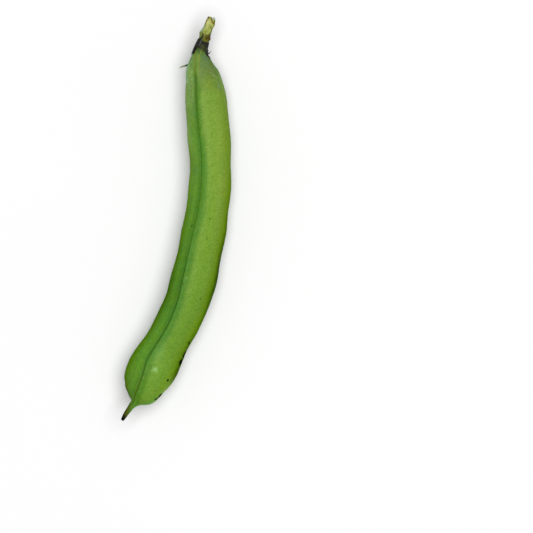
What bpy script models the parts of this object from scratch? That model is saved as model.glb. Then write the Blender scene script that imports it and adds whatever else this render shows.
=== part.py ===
"""A broad bean pod, as picked, lying on a table with its inner seam turned up.

Metres, +Z up. The pod lies along Y, neck towards +Y and beak towards -Y, and rests on three low
points of its outer edge. The origin is on the table, under the middle of the whole object's box.
"""

import math

import bmesh
import bpy
import numpy as np
from mathutils import Vector

MM = 0.001

# The pod from neck to beak, one row for each place along it, in millimetres and degrees:
# x, y, height of the underside, half height, half thickness, roll of the seam towards -X.
POD_ROWS = np.array([
    (12.20, 80.8, 14.95, 1.75, 1.70, 18.0),
    (11.35, 78.2, 13.60, 2.75, 2.30, 24.0),
    (10.88, 75.3, 11.60, 4.25, 3.25, 28.0),
    (10.96, 72.4, 9.20, 6.00, 4.96, 23.6),
    (11.45, 67.8, 5.30, 8.60, 7.22, 19.0),
    (12.42, 64.0, 2.90, 9.80, 8.00, 20.0),
    (13.20, 58.5, 0.90, 10.90, 8.62, 22.0),
    (14.10, 48.8, -0.30, 12.10, 9.30, 21.5),
    (14.80, 40.4, 0.20, 12.20, 9.40, 21.0),
    (15.60, 27.5, 0.60, 11.95, 9.20, 19.5),
    (15.40, 14.3, 0.10, 12.10, 9.30, 19.0),
    (14.40, 5.6, -0.35, 12.25, 9.45, 19.5),
    (13.20, -3.2, -0.35, 12.45, 9.60, 22.0),
    (11.50, -12.0, 0.10, 12.30, 9.60, 24.0),
    (7.60, -29.6, 0.60, 12.70, 10.00, 23.0),
    (4.80, -38.5, 0.60, 12.70, 10.05, 19.5),
    (0.90, -47.1, 0.50, 12.35, 9.75, 16.5),
    (-3.50, -55.4, 0.20, 12.20, 9.80, 16.5),
    (-7.90, -63.5, -0.30, 12.30, 10.60, 19.0),
    (-10.10, -67.4, -0.40, 12.30, 11.00, 18.5),
    (-12.30, -71.1, 0.10, 12.10, 11.05, 13.5),
    (-14.12, -74.7, 1.30, 11.10, 10.50, 11.0),
    (-15.55, -78.45, 3.80, 9.40, 8.95, 12.5),
    (-17.30, -81.95, 8.10, 6.80, 6.50, 15.5),
    (-18.18, -83.35, 11.30, 4.60, 4.38, 16.5),
    (-18.90, -84.45, 14.75, 2.50, 2.35, 15.0),
    (-20.42, -86.05, 16.80, 1.60, 1.50, 12.0),
    (-22.00, -88.2, 17.00, 1.30, 1.25, 12.0),
    (-23.50, -90.4, 17.00, 1.10, 1.05, 12.0),
    (-24.90, -92.85, 16.90, 0.75, 0.72, 12.0),
])
POD_RINGS = 76
POD_COLUMNS = 56
END_CROWDING = 0.70      # how much closer the rings stand at the ends
SEAM_CROWDING = 0.60     # how much closer the columns stand along the seam
POD_CAP = 0.6            # length of the rounding at either tip
RUN_REACH = 0.4          # how far before and behind a place its run is read

# The inner seam: a pair of ribs beside a groove, with a shallow furrow outside each rib.
RIB_HEIGHT, RIB_OFFSET, RIB_WIDTH = 0.28, 1.05, 0.55
GROOVE_DEPTH, GROOVE_WIDTH = 0.30, 0.40
FURROW_DEPTH, FURROW_OFFSET, FURROW_WIDTH = 0.14, 2.6, 0.8
SEAM_FULL_THICKNESS = 6.0    # half thickness from which the seam has its full relief
KEEL_HEIGHT, KEEL_WIDTH = 0.25, 0.9    # the outer seam, a single low ridge

# The beans swell both valves a little, one to each pitch.
SWELLING = 0.18
BEAN_PITCH = 21.5
FIRST_BEAN = 24.0

# The calyx, a cup on the neck. Places along it are counted from the neck's end.
CALYX_RINGS = 30
CALYX_COLUMNS = 44
CUP_BACK = -1.0          # outer face of its floor
CUP_FLOOR = -0.32        # inner face of its floor
CUP_RIM = 1.8
CUP_BASE_SHARE = 0.18    # share of the rings that make the floor
CURL_START = 0.5         # share of the rim's reach from which the lobes curl out
SKIN_GAP = 0.3
CUP_WALL = 0.62
CUP_SEAT_WALL = 0.25      # extra thickness at the floor, where the stalk joins
CUP_SEAT_LENGTH = 2.4
WRINKLE_HEIGHT, WRINKLE_COUNT, WRINKLE_SLANT = 0.16, 9, 0.8
# Each lobe: direction from the top towards +X, how far it reaches, half width, how far it curls out.
LOBES = (
    (8.0, 3.2, 58.0, 0.0),
    (-76.0, 6.0, 38.0, 0.05),
    (76.0, 8.2, 32.0, 0.0),
    (132.0, 4.8, 26.0, 0.20),
    (176.0, 5.2, 30.0, 0.30),
    (-142.0, 6.4, 26.0, 0.15),
)
# A fold of the wall that sticks out: direction, place along, height, half width in degrees and length.
FOLD = (98.0, 3.2, 0.6, 12.0, 0.6)

# The two dry threads: thickness, their root in a lobe (place along the neck, direction from the
# top, height over the skin), then the points that they pass.
THREAD_RADIUS = 0.38
WELD_DISTANCE = 0.01
LEFT_THREAD = (
    ((4.6, -146.0, 0.65), (6.8, -150.0, 0.75), (8.8, -146.0, 0.85)),
    ((6.6, 70.9, 10.2), (5.2, 70.6, 11.4), (3.9, 70.2, 12.3), (2.6, 69.9, 12.9), (1.1, 69.1, 13.2)),
)
RIGHT_THREAD = (
    ((4.2, 102.0, 0.60), (5.0, 98.0, 0.85)),
    ((15.0, 75.85, 15.3), (15.55, 76.4, 15.6), (16.1, 76.95, 15.8)),
)

# The stalk from the calyx to its torn tip, in millimetres: x, y, z, radius.
STALK_ROWS = np.array([
    (12.65, 82.07, 16.75, 2.35),
    (13.05, 83.9, 17.00, 2.35),
    (13.68, 85.5, 17.20, 2.42),
    (14.42, 87.0, 17.45, 2.12),
    (15.15, 89.0, 17.75, 2.02),
    (15.95, 91.2, 18.00, 2.00),
    (16.25, 92.55, 18.15, 1.75),
])
STALK_RINGS = 34
STALK_COLUMNS = 26
STALK_CAP = 0.12         # length of the rounding at its foot
BARK_SHARE = 0.6         # share of the rings that make the bark, before those of the torn face
TEAR_START = 1.3         # where the slanting tear begins on the upper side
TEAR_LENGTH = 14.0       # length of stalk over which its plane would cross from top to underside
TEAR_HOLLOW = 0.35
# A nick in the torn tip: direction, depth, half width in degrees.
TEAR_NICK = (166.0, 0.6, 9.0)
# Swellings of the stalk: direction, place along it, height, half width in degrees and in length.
STALK_LUMPS = (
    (76.0, 1.1, 0.72, 44.0, 1.3),
    (-84.0, 2.5, 0.45, 26.0, 0.7),
    (98.0, 7.9, 0.55, 34.0, 1.3),
)


class Track:
    """A smooth curve through rows of numbers, the first two of each being its place in plan."""

    def __init__(self, rows):
        self.rows = rows
        steps = np.linalg.norm(np.diff(rows[:, :2], axis=0), axis=1)
        self.marks = np.concatenate([[0.0], np.cumsum(steps)])
        self.slopes = np.gradient(rows, self.marks, axis=0)
        self.length = float(self.marks[-1])

    def at(self, along):
        """The row's values at a distance along it, by a cubic between its neighbours. Past either
        end it runs on straight."""
        if along < 0.0:
            return (self.rows[0] + along * self.slopes[0] * straight_on(len(self.rows[0]))).tolist()
        last = len(self.marks) - 2
        k = min(int(np.searchsorted(self.marks, along, side="right")) - 1, last)
        span = self.marks[k + 1] - self.marks[k]
        f = min((along - self.marks[k]) / span, 1.0)
        values = (
            (2 * f**3 - 3 * f**2 + 1) * self.rows[k]
            + (f**3 - 2 * f**2 + f) * span * self.slopes[k]
            + (3 * f**2 - 2 * f**3) * self.rows[k + 1]
            + (f**3 - f**2) * span * self.slopes[k + 1]
        )
        return values.tolist()

    def sideways(self, along):
        """The level direction at right angles to the track, to the left of someone walking it."""
        ahead, behind = self.at(min(along + RUN_REACH, self.length)), self.at(along - RUN_REACH)
        run = Vector((ahead[0] - behind[0], ahead[1] - behind[1], 0.0)).normalized()
        return Vector((-run.y, run.x, 0.0))


def straight_on(count):
    """Which of a row's values go on changing past the end: only its place in plan."""
    return np.array([1.0, 1.0] + [0.0] * (count - 2))


def bump(distance, width):
    """A smooth bump of height 1 whose half width is about the given one."""
    return math.exp(-((distance / width) ** 2))


def fullness(depth, cap):
    """How full a section is at a depth behind a tip that is rounded over the cap's length."""
    missing = 1.0 - max(0.0, min(depth / cap, 1.0))
    return math.sqrt(1.0 - missing**2)


def degrees_apart(first, second):
    """The angle between two directions, in degrees, from -180 to 180."""
    return (first - second + 180.0) % 360.0 - 180.0


def edge_relief(offset, inner, strength):
    """Height of the inner seam's ribs, groove and furrows, or of the outer seam's ridge, at an
    offset to the seam's side. The inner seam fades faster where the pod is thin."""
    if not inner:
        return -KEEL_HEIGHT * bump(offset, KEEL_WIDTH)
    return strength * (
        RIB_HEIGHT * bump(abs(offset) - RIB_OFFSET, RIB_WIDTH)
        - GROOVE_DEPTH * bump(offset, GROOVE_WIDTH)
        - FURROW_DEPTH * bump(abs(offset) - FURROW_OFFSET, FURROW_WIDTH)
    )


class Pod:
    """The pod's skin as a formula, which the calyx and its threads follow too."""

    def __init__(self):
        self.track = Track(POD_ROWS)

    def skin(self, along, turn, outward=0.0, full=1.0):
        """A point of the skin at a distance along the pod and an angle round it from the seam,
        rightwards, moved outward by a distance. The section can be less than full."""
        x, y, underside, half_height, half_thickness, roll = self.track.at(along)
        roll = math.radians(roll)
        reach = math.hypot(half_height * math.cos(roll), half_thickness * math.sin(roll))
        side = self.track.sideways(along)
        up = Vector((0.0, 0.0, 1.0))
        seamward = up * math.cos(roll) - side * math.sin(roll)
        valveward = side * math.cos(roll) + up * math.sin(roll)
        strength = min(1.0, half_thickness / SEAM_FULL_THICKNESS)
        relief = strength * edge_relief(half_thickness * math.sin(turn), math.cos(turn) > 0.0, strength)
        swelling = SWELLING * strength**2 * math.cos(2 * math.pi * (along - FIRST_BEAN) / BEAN_PITCH)
        high = (half_height + outward) * math.cos(turn) + relief
        wide = (half_thickness + outward + swelling) * math.sin(turn)
        centre = Vector((x, y, underside + reach))
        return centre + full * (seamward * high + valveward * wide)

    def turn_of(self, along, direction):
        """The angle round from the seam of a direction given in degrees from the top towards +X."""
        return math.radians(direction + self.track.at(along)[5])

    def point(self, share, angle):
        """The skin's point for a share of the way from neck to beak and an angle round it."""
        crowding = END_CROWDING * math.sin(2 * math.pi * share) / (2 * math.pi)
        along = self.track.length * (share - crowding)
        turn = angle - SEAM_CROWDING * math.sin(angle)
        full = fullness(min(along, self.track.length - along), POD_CAP)
        place = self.skin(along, turn, full=full)
        place.z = max(place.z, 0.0)
        return place


class Calyx:
    """The withered cup round the neck, with its ragged lobes."""

    def __init__(self, pod):
        self.pod = pod

    def lobe_at(self, direction):
        """How far the rim reaches along the neck in a direction, and how far it curls outward."""
        reach, curl = CUP_RIM, 0.0
        for middle, lobe_reach, half_width, lobe_curl in LOBES:
            height = 1.0 - abs(degrees_apart(direction, middle)) / half_width
            if height > 0.0 and CUP_RIM + height * (lobe_reach - CUP_RIM) > reach:
                reach = CUP_RIM + height * (lobe_reach - CUP_RIM)
                curl = height * lobe_curl
        return reach, curl

    def wall_point(self, along, direction, reach, curl, outer):
        """A point of the wall's outer or inner face."""
        start = CUP_RIM * CURL_START
        lift = curl * max(0.0, (along - start) / (reach - start)) ** 2
        outward = SKIN_GAP + lift
        if outer:
            wrinkle = math.sin(math.radians(direction) * WRINKLE_COUNT + WRINKLE_SLANT * along)
            seat = max(0.0, 1.0 - (along - CUP_BACK) / CUP_SEAT_LENGTH)
            outward += CUP_WALL + CUP_SEAT_WALL * seat + WRINKLE_HEIGHT * (0.5 + 0.5 * wrinkle)
            middle, place, height, half_width, half_length = FOLD
            around = bump(degrees_apart(direction, middle), half_width)
            outward += height * around * bump(along - place, half_length)
        return self.pod.skin(along, self.pod.turn_of(max(along, 0.0), direction), outward)

    def point(self, share, angle):
        """A point of the closed shell: the floor's middle, out and along the outer face to the
        rim, then back along the inner face to the floor's other side."""
        direction = math.degrees(angle)
        reach, curl = self.lobe_at(direction)
        outer = share <= 0.5
        way = 2.0 * share if outer else 2.0 * (1.0 - share)
        floor = CUP_BACK if outer else CUP_FLOOR
        if way < CUP_BASE_SHARE:
            edge = self.wall_point(floor, direction, reach, 0.0, outer)
            middle = self.pod.skin(floor, 0.0, full=0.0)
            return middle.lerp(edge, way / CUP_BASE_SHARE)
        climb = (way - CUP_BASE_SHARE) / (1.0 - CUP_BASE_SHARE)
        return self.wall_point(floor + climb * (reach - floor), direction, reach, curl, outer)


class Stalk:
    """The stub of the stalk, torn off on a slant that faces up."""

    def __init__(self):
        self.track = Track(STALK_ROWS)

    def outside(self, along, direction):
        """A point of the bark."""
        x, y, z, radius = self.track.at(along)
        for middle, place, height, half_width, half_length in STALK_LUMPS:
            around = bump(degrees_apart(direction, middle), half_width)
            radius += height * around * bump(along - place, half_length)
        radius *= fullness(along, STALK_CAP)
        angle = math.radians(direction)
        up = Vector((0.0, 0.0, 1.0))
        spoke = up * math.cos(angle) + self.track.sideways(along) * -math.sin(angle)
        return Vector((x, y, z)) + radius * spoke

    def tear_end(self, direction):
        """How far along the stalk the bark reaches in a direction."""
        slant = TEAR_START + TEAR_LENGTH * (1.0 - math.cos(math.radians(direction))) / 2.0
        middle, depth, half_width = TEAR_NICK
        return min(slant, self.track.length) - depth * bump(degrees_apart(direction, middle), half_width)

    def tear_height(self, along):
        """Height of the tear's plane over the stalk's middle line."""
        radius = self.track.at(along)[3]
        return radius * (1.0 - 2.0 * (along - TEAR_START) / TEAR_LENGTH)

    def tear(self, depth, direction):
        """A point of the torn face, from its edge at depth 0 to its middle at depth 1."""
        end = self.tear_end(direction)
        middle = (TEAR_START + self.track.length) / 2.0
        along = end + depth * (middle - end)
        x, y, z, radius = self.track.at(along)
        across = self.outside(end, direction) - Vector(self.track.at(end)[:3])
        side = self.track.sideways(along)
        shift = side * across.dot(self.track.sideways(end)) * (1.0 - depth)
        hollow = TEAR_HOLLOW * (1.0 - (1.0 - depth) ** 2)
        return Vector((x, y, z + self.tear_height(along) - hollow)) + shift

    def point(self, share, angle):
        """A point of the closed shape: from the calyx along the bark to its torn edge, then over
        the torn face to its middle."""
        direction = -math.degrees(angle)
        if share <= BARK_SHARE:
            return self.outside(self.tear_end(direction) * share / BARK_SHARE, direction)
        return self.tear((share - BARK_SHARE) / (1.0 - BARK_SHARE), direction)


def shaped_ball(name, columns, rings, point):
    """A closed skin: a ball whose points are moved to where the formula says. Its upper pole is
    share 0, its lower pole share 1, and the angle runs round it."""
    mesh = bpy.data.meshes.new(name)
    ball = bmesh.new()
    bmesh.ops.create_uvsphere(ball, u_segments=columns, v_segments=rings, radius=1.0)
    for vertex in ball.verts:
        x, y, z = vertex.co
        share = math.acos(max(-1.0, min(1.0, z))) / math.pi
        vertex.co = point(share, math.atan2(y, x)) * MM
    ball.to_mesh(mesh)
    ball.free()
    mesh.shade_smooth()
    return bpy.data.objects.new(name, mesh)


def material(name, colour, roughness):
    """A plain finish."""
    finish = bpy.data.materials.new(name)
    finish.use_nodes = True
    shader = finish.node_tree.nodes["Principled BSDF"]
    shader.inputs["Base Color"].default_value = (*colour, 1.0)
    shader.inputs["Roughness"].default_value = roughness
    shader.inputs["Metallic"].default_value = 0.0
    return finish


def thread(name, pod, route, collection):
    """One dry thread as a closed mesh, rooted in the calyx."""
    rooted, free = route
    points = [pod.skin(along, pod.turn_of(along, around), outward) for along, around, outward in rooted]
    points += [Vector(place) for place in free]
    curve = bpy.data.curves.new(name, "CURVE")
    curve.dimensions = "3D"
    curve.bevel_depth = THREAD_RADIUS * MM
    curve.bevel_resolution = 2
    curve.use_fill_caps = True
    line = curve.splines.new("POLY")
    line.points.add(len(points) - 1)
    for spot, place in zip(line.points, points):
        spot.co = (*(place * MM), 1.0)
    drawn = bpy.data.objects.new(name, curve)
    collection.objects.link(drawn)
    bpy.context.view_layer.update()
    evaluated = drawn.evaluated_get(bpy.context.evaluated_depsgraph_get())
    mesh = bpy.data.meshes.new_from_object(evaluated)
    bpy.data.objects.remove(drawn)
    welded = bmesh.new()
    welded.from_mesh(mesh)
    bmesh.ops.remove_doubles(welded, verts=welded.verts, dist=WELD_DISTANCE * MM)
    welded.to_mesh(mesh)
    welded.free()
    solid = bpy.data.objects.new(name, mesh)
    collection.objects.link(solid)


def fuse(body, collection):
    """Joins a collection's solids to a body in one union, and removes them."""
    union = body.modifiers.new("threads", "BOOLEAN")
    union.operation = "UNION"
    union.operand_type = "COLLECTION"
    union.collection = collection
    bpy.context.view_layer.update()
    evaluated = body.evaluated_get(bpy.context.evaluated_depsgraph_get())
    joined = bpy.data.meshes.new_from_object(evaluated)
    body.modifiers.remove(union)
    old = body.data
    body.data = joined
    bpy.data.meshes.remove(old)
    for solid in list(collection.objects):
        bpy.data.objects.remove(solid)
    bpy.data.collections.remove(collection)


def build_pod(collection, pod):
    """The pod itself, grown as one piece from neck to beak."""
    skin = shaped_ball("pod", POD_COLUMNS, POD_RINGS, pod.point)
    skin.data.materials.append(material("pod_green", (0.20, 0.38, 0.05), 0.45))
    collection.objects.link(skin)


def build_calyx(collection, pod):
    """The withered cup with its lobes and both dry threads, joined in one body."""
    cup = shaped_ball("calyx", CALYX_COLUMNS, CALYX_RINGS, Calyx(pod).point)
    collection.objects.link(cup)
    threads = bpy.data.collections.new("dry_threads")
    bpy.context.scene.collection.children.link(threads)
    thread("left_thread", pod, LEFT_THREAD, threads)
    thread("right_thread", pod, RIGHT_THREAD, threads)
    fuse(cup, threads)
    cup.data.materials.append(material("calyx_black", (0.02, 0.02, 0.012), 0.75))


def build_stalk(collection):
    """The torn stub of the stalk."""
    stub = shaped_ball("stalk", STALK_COLUMNS, STALK_RINGS, Stalk().point)
    stub.data.materials.append(material("stalk_green", (0.25, 0.29, 0.06), 0.6))
    collection.objects.link(stub)


def clear_scene():
    """Removes whatever the scene holds."""
    for old in list(bpy.data.objects):
        bpy.data.objects.remove(old)


def main():
    """Builds the three pieces in a collection of their own."""
    clear_scene()
    collection = bpy.data.collections.new("broad_bean_pod")
    bpy.context.scene.collection.children.link(collection)
    pod = Pod()
    build_pod(collection, pod)
    build_calyx(collection, pod)
    build_stalk(collection)


main()
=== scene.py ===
"""The finish of a broad bean pod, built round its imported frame.

The pod lies along Y with its neck towards +Y and its beak towards -Y, on a floor at height 0. Shapes
are worked out in millimetres and written to the meshes in metres.
"""

import logging
import math
from dataclasses import asdict, dataclass
from enum import Enum
from functools import reduce
from typing import Callable, Optional, Union

import bpy
import numpy as np
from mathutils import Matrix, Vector


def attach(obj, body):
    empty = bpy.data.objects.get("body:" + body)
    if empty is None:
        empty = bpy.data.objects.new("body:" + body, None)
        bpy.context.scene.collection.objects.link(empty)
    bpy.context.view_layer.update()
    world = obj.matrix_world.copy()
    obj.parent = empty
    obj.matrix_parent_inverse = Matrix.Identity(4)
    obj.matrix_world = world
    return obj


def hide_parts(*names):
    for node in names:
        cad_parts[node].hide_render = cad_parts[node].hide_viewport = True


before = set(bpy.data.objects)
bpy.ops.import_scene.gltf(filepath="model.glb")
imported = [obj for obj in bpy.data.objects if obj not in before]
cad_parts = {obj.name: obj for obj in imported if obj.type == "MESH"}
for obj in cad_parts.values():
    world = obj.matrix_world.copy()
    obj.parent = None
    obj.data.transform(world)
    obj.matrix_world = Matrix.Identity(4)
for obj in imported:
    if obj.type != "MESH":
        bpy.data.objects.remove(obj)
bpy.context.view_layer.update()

logging.basicConfig(level=logging.INFO, format="%(levelname)s %(message)s")
log = logging.getLogger("broad_bean_pod")

MM = 0.001
BODY = "root"
LIGHT_LEVEL = 1.6    # how bright a white level surface shows in the studio
SHEEN = 0.008        # light that the surface's gloss adds to every colour
FULL_TURN = 2 * np.pi
UP = np.array([0.0, 0.0, 1.0])

Numbers = Union[float, np.ndarray]
Wire = bpy.types.NodeSocket
Feed = Union[Wire, float, tuple]
Colour = tuple[float, float, float, float]
Stop = tuple[float, Colour]          # a place on a ramp and its colour
Climb = tuple[float, ...]            # where it begins and ends, then its two levels unless 0 and 1
Step = tuple[float, float, float]    # where it begins and ends, and the level after it
Spot = tuple[float, float, float]    # a place in millimetres

# The pod from neck to beak, one row for each place along it, in millimetres and degrees:
# x, y, height of the underside, half height, half thickness, roll of the seam towards -X.
POD_ROWS = np.array([
    (12.20, 80.8, 14.95, 1.75, 1.70, 18.0),
    (11.35, 78.2, 13.60, 2.75, 2.30, 24.0),
    (10.88, 75.3, 11.60, 4.25, 3.25, 28.0),
    (10.96, 72.4, 9.20, 6.00, 4.96, 23.6),
    (11.45, 67.8, 5.30, 8.60, 7.22, 19.0),
    (12.42, 64.0, 2.90, 9.80, 8.00, 20.0),
    (13.20, 58.5, 0.90, 10.90, 8.62, 22.0),
    (14.10, 48.8, -0.30, 12.10, 9.30, 21.5),
    (14.80, 40.4, 0.20, 12.20, 9.40, 21.0),
    (15.60, 27.5, 0.60, 11.95, 9.20, 19.5),
    (15.40, 14.3, 0.10, 12.10, 9.30, 19.0),
    (14.40, 5.6, -0.35, 12.25, 9.45, 19.5),
    (13.20, -3.2, -0.35, 12.45, 9.60, 22.0),
    (11.50, -12.0, 0.10, 12.30, 9.60, 24.0),
    (7.60, -29.6, 0.60, 12.70, 10.00, 23.0),
    (4.80, -38.5, 0.60, 12.70, 10.05, 19.5),
    (0.90, -47.1, 0.50, 12.35, 9.75, 16.5),
    (-3.50, -55.4, 0.20, 12.20, 9.80, 16.5),
    (-7.90, -63.5, -0.30, 12.30, 10.60, 19.0),
    (-10.10, -67.4, -0.40, 12.30, 11.00, 18.5),
    (-12.30, -71.1, 0.10, 12.10, 11.05, 13.5),
    (-14.12, -74.7, 1.30, 11.10, 10.50, 11.0),
    (-15.55, -78.45, 3.80, 9.40, 8.95, 12.5),
    (-17.30, -81.95, 8.10, 6.80, 6.50, 15.5),
    (-18.18, -83.35, 11.30, 4.60, 4.38, 16.5),
    (-18.90, -84.45, 14.75, 2.50, 2.35, 15.0),
    (-20.42, -86.05, 16.80, 1.60, 1.50, 12.0),
    (-22.00, -88.2, 17.00, 1.30, 1.25, 12.0),
    (-23.50, -90.4, 17.00, 1.10, 1.05, 12.0),
    (-24.90, -92.85, 16.90, 0.75, 0.72, 12.0),
])

# The stalk from the calyx to its torn tip, in millimetres: x, y, z, radius.
STALK_ROWS = np.array([
    (12.65, 82.07, 16.75, 2.35),
    (13.05, 83.9, 17.00, 2.35),
    (13.68, 85.5, 17.20, 2.42),
    (14.42, 87.0, 17.45, 2.12),
    (15.15, 89.0, 17.75, 2.02),
    (15.95, 91.2, 18.00, 2.00),
    (16.25, 92.55, 18.15, 1.75),
])


def linear(channel: float) -> float:
    """One display value from 0 to 255 as linear light from 0 to 1."""
    value = channel / 255.0
    return value / 12.92 if value <= 0.04045 else ((value + 0.055) / 1.055) ** 2.4


def shade(red: float, green: float, blue: float, light: float = 1.0) -> Colour:
    """The surface colour that shows as wished in the studio's light.

    Args:
        red: the wished red, from 0 to 255 as displayed.
        green: the wished green.
        blue: the wished blue.
        light: share of the light on a level surface that reaches this one.

    Returns:
        The colour as a shader takes it.
    """
    level = LIGHT_LEVEL * light
    return tuple(max(linear(channel) - SHEEN, 0.001) / level for channel in (red, green, blue)) + (1.0,)


def bump(distance: np.ndarray, width: float) -> np.ndarray:
    """A smooth bump of height 1 whose half width is about the given one."""
    return np.exp(-((distance / width) ** 2))


def smooth_step(low: float, high: float, value: np.ndarray) -> np.ndarray:
    """0 below the low value, 1 above the high one, and a smooth climb between them."""
    way = np.clip((value - low) / (high - low), 0.0, 1.0)
    return way * way * (3.0 - 2.0 * way)


def rounding(along: np.ndarray, length: float, cap: float) -> np.ndarray:
    """How full a section is near a tip that is rounded over the cap's length."""
    depth = np.minimum(along, length - along) / cap
    return np.sqrt(np.maximum(0.0, 1.0 - (1.0 - np.clip(depth, 0.0, 1.0)) ** 2))


def degrees_apart(first: np.ndarray, second: float) -> np.ndarray:
    """The angle between two directions, in degrees, from -180 to 180."""
    return (first - second + 180.0) % 360.0 - 180.0


def column(values: np.ndarray) -> np.ndarray:
    """Values as a column, so that each one scales its own row of coordinates."""
    return np.asarray(values, float).reshape(-1, 1)


class Track:
    """A smooth curve through rows of numbers, the first two of each being its place in plan."""

    def __init__(self, rows: np.ndarray) -> None:
        """Measures the way along the rows.

        Args:
            rows: one row for each place, starting with x and y in millimetres.
        """
        self.rows = rows
        steps = np.linalg.norm(np.diff(rows[:, :2], axis=0), axis=1)
        self.marks = np.concatenate([[0.0], np.cumsum(steps)])
        self.slopes = np.gradient(rows, self.marks, axis=0)
        self.length = float(self.marks[-1])

    def at(self, along: np.ndarray) -> np.ndarray:
        """The row's values at distances along it, by a cubic between its neighbours.

        Args:
            along: distances from the first row, in millimetres. Before it the place runs on straight.

        Returns:
            One row of values for each distance.
        """
        inside = np.clip(along, 0.0, self.length)
        k = np.clip(np.searchsorted(self.marks, inside, side="right") - 1, 0, len(self.marks) - 2)
        span = column(self.marks[k + 1] - self.marks[k])
        f = column(inside - self.marks[k]) / span
        values = (
            (2 * f**3 - 3 * f**2 + 1) * self.rows[k]
            + (f**3 - 2 * f**2 + f) * span * self.slopes[k]
            + (3 * f**2 - 2 * f**3) * self.rows[k + 1]
            + (f**3 - f**2) * span * self.slopes[k + 1]
        )
        values[:, :2] += column(np.minimum(along, 0.0)) * self.slopes[0, :2]
        return values

    def sideways(self, along: np.ndarray, reach: float = 0.4) -> np.ndarray:
        """The level direction to the left of someone walking the track.

        Args:
            along: distances from the first row, in millimetres.
            reach: how far before and behind each place its run is read.

        Returns:
            One direction of length 1 for each distance.
        """
        ahead = self.at(np.minimum(along + reach, self.length))[:, :2]
        run = ahead - self.at(along - reach)[:, :2]
        run /= np.linalg.norm(run, axis=1, keepdims=True)
        return np.column_stack([-run[:, 1], run[:, 0], np.zeros(len(run))])


@dataclass(frozen=True)
class Ripple:
    """A wave over a piece: its height, how fast it runs along and around, and where it starts."""

    height: float
    along: float
    around: float
    start: float = 0.0

    def at(self, along: Numbers, turn: Numbers) -> Numbers:
        """The wave's height at distances along a piece and angles round it, in radians."""
        return self.height * np.sin(self.along * along + self.around * turn + self.start)


@dataclass(frozen=True)
class Lump:
    """A soft swelling: its direction, its place along, its height and its half sizes."""

    direction: float
    place: float
    height: float
    half_width: float
    half_length: float

    def at(self, along: np.ndarray, direction: np.ndarray) -> np.ndarray:
        """The swelling's height at distances along a piece and directions in degrees."""
        around = bump(degrees_apart(direction, self.direction), self.half_width)
        return self.height * around * bump(along - self.place, self.half_length)


@dataclass(frozen=True)
class Notch:
    """A soft dip in an edge: its direction, its depth and its half width."""

    direction: float
    depth: float
    half_width: float

    def at(self, direction: np.ndarray) -> np.ndarray:
        """The dip's depth in directions given in degrees."""
        return self.depth * bump(degrees_apart(direction, self.direction), self.half_width)


def rippled(ripples: tuple[Ripple, ...], along: Numbers, turn: Numbers) -> Numbers:
    """The heights of several waves added up."""
    return sum(ripple.at(along, turn) for ripple in ripples)


@dataclass(frozen=True)
class Seam:
    """The inner seam's pair of ribs beside a groove, and the outer seam's low ridge."""

    rib_height: float = 0.10
    rib_offset: float = 1.0
    rib_width: float = 0.5
    shallow_groove: float = 0.10
    deep_groove: float = 0.20
    deepens: tuple[float, float] = (92.0, 108.0)
    groove_width: float = 0.22
    furrow_depth: float = 0.10
    furrow_offset: float = 2.5
    furrow_width: float = 0.8
    strand_height: float = 0.016
    strand_pitch: float = 0.52
    strand_sway: Ripple = Ripple(0.12, 0.21, 0.0)
    keel_height: float = 0.25
    keel_width: float = 0.9

    def inner(self, offset: np.ndarray, along: np.ndarray) -> np.ndarray:
        """Works out the ribs, groove, furrows and fine strands.

        Args:
            offset: distances from the seam to its side, in millimetres.
            along: distances along the pod from its neck.

        Returns:
            The height of the relief at each point.
        """
        apart = np.abs(offset)
        deeper = smooth_step(*self.deepens, along)
        groove = self.shallow_groove + (self.deep_groove - self.shallow_groove) * deeper
        swayed = offset + self.strand_sway.at(along, 0.0)
        strands = np.cos(FULL_TURN * swayed / self.strand_pitch)
        return (
            self.rib_height * bump(apart - self.rib_offset, self.rib_width)
            - groove * bump(offset, self.groove_width)
            - self.furrow_depth * bump(apart - self.furrow_offset, self.furrow_width)
            + self.strand_height * strands * bump(offset, self.furrow_offset)
        )

    def outer(self, offset: np.ndarray) -> np.ndarray:
        """Height of the ridge along the far edge, downwards from it."""
        return -self.keel_height * bump(offset, self.keel_width)


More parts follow.
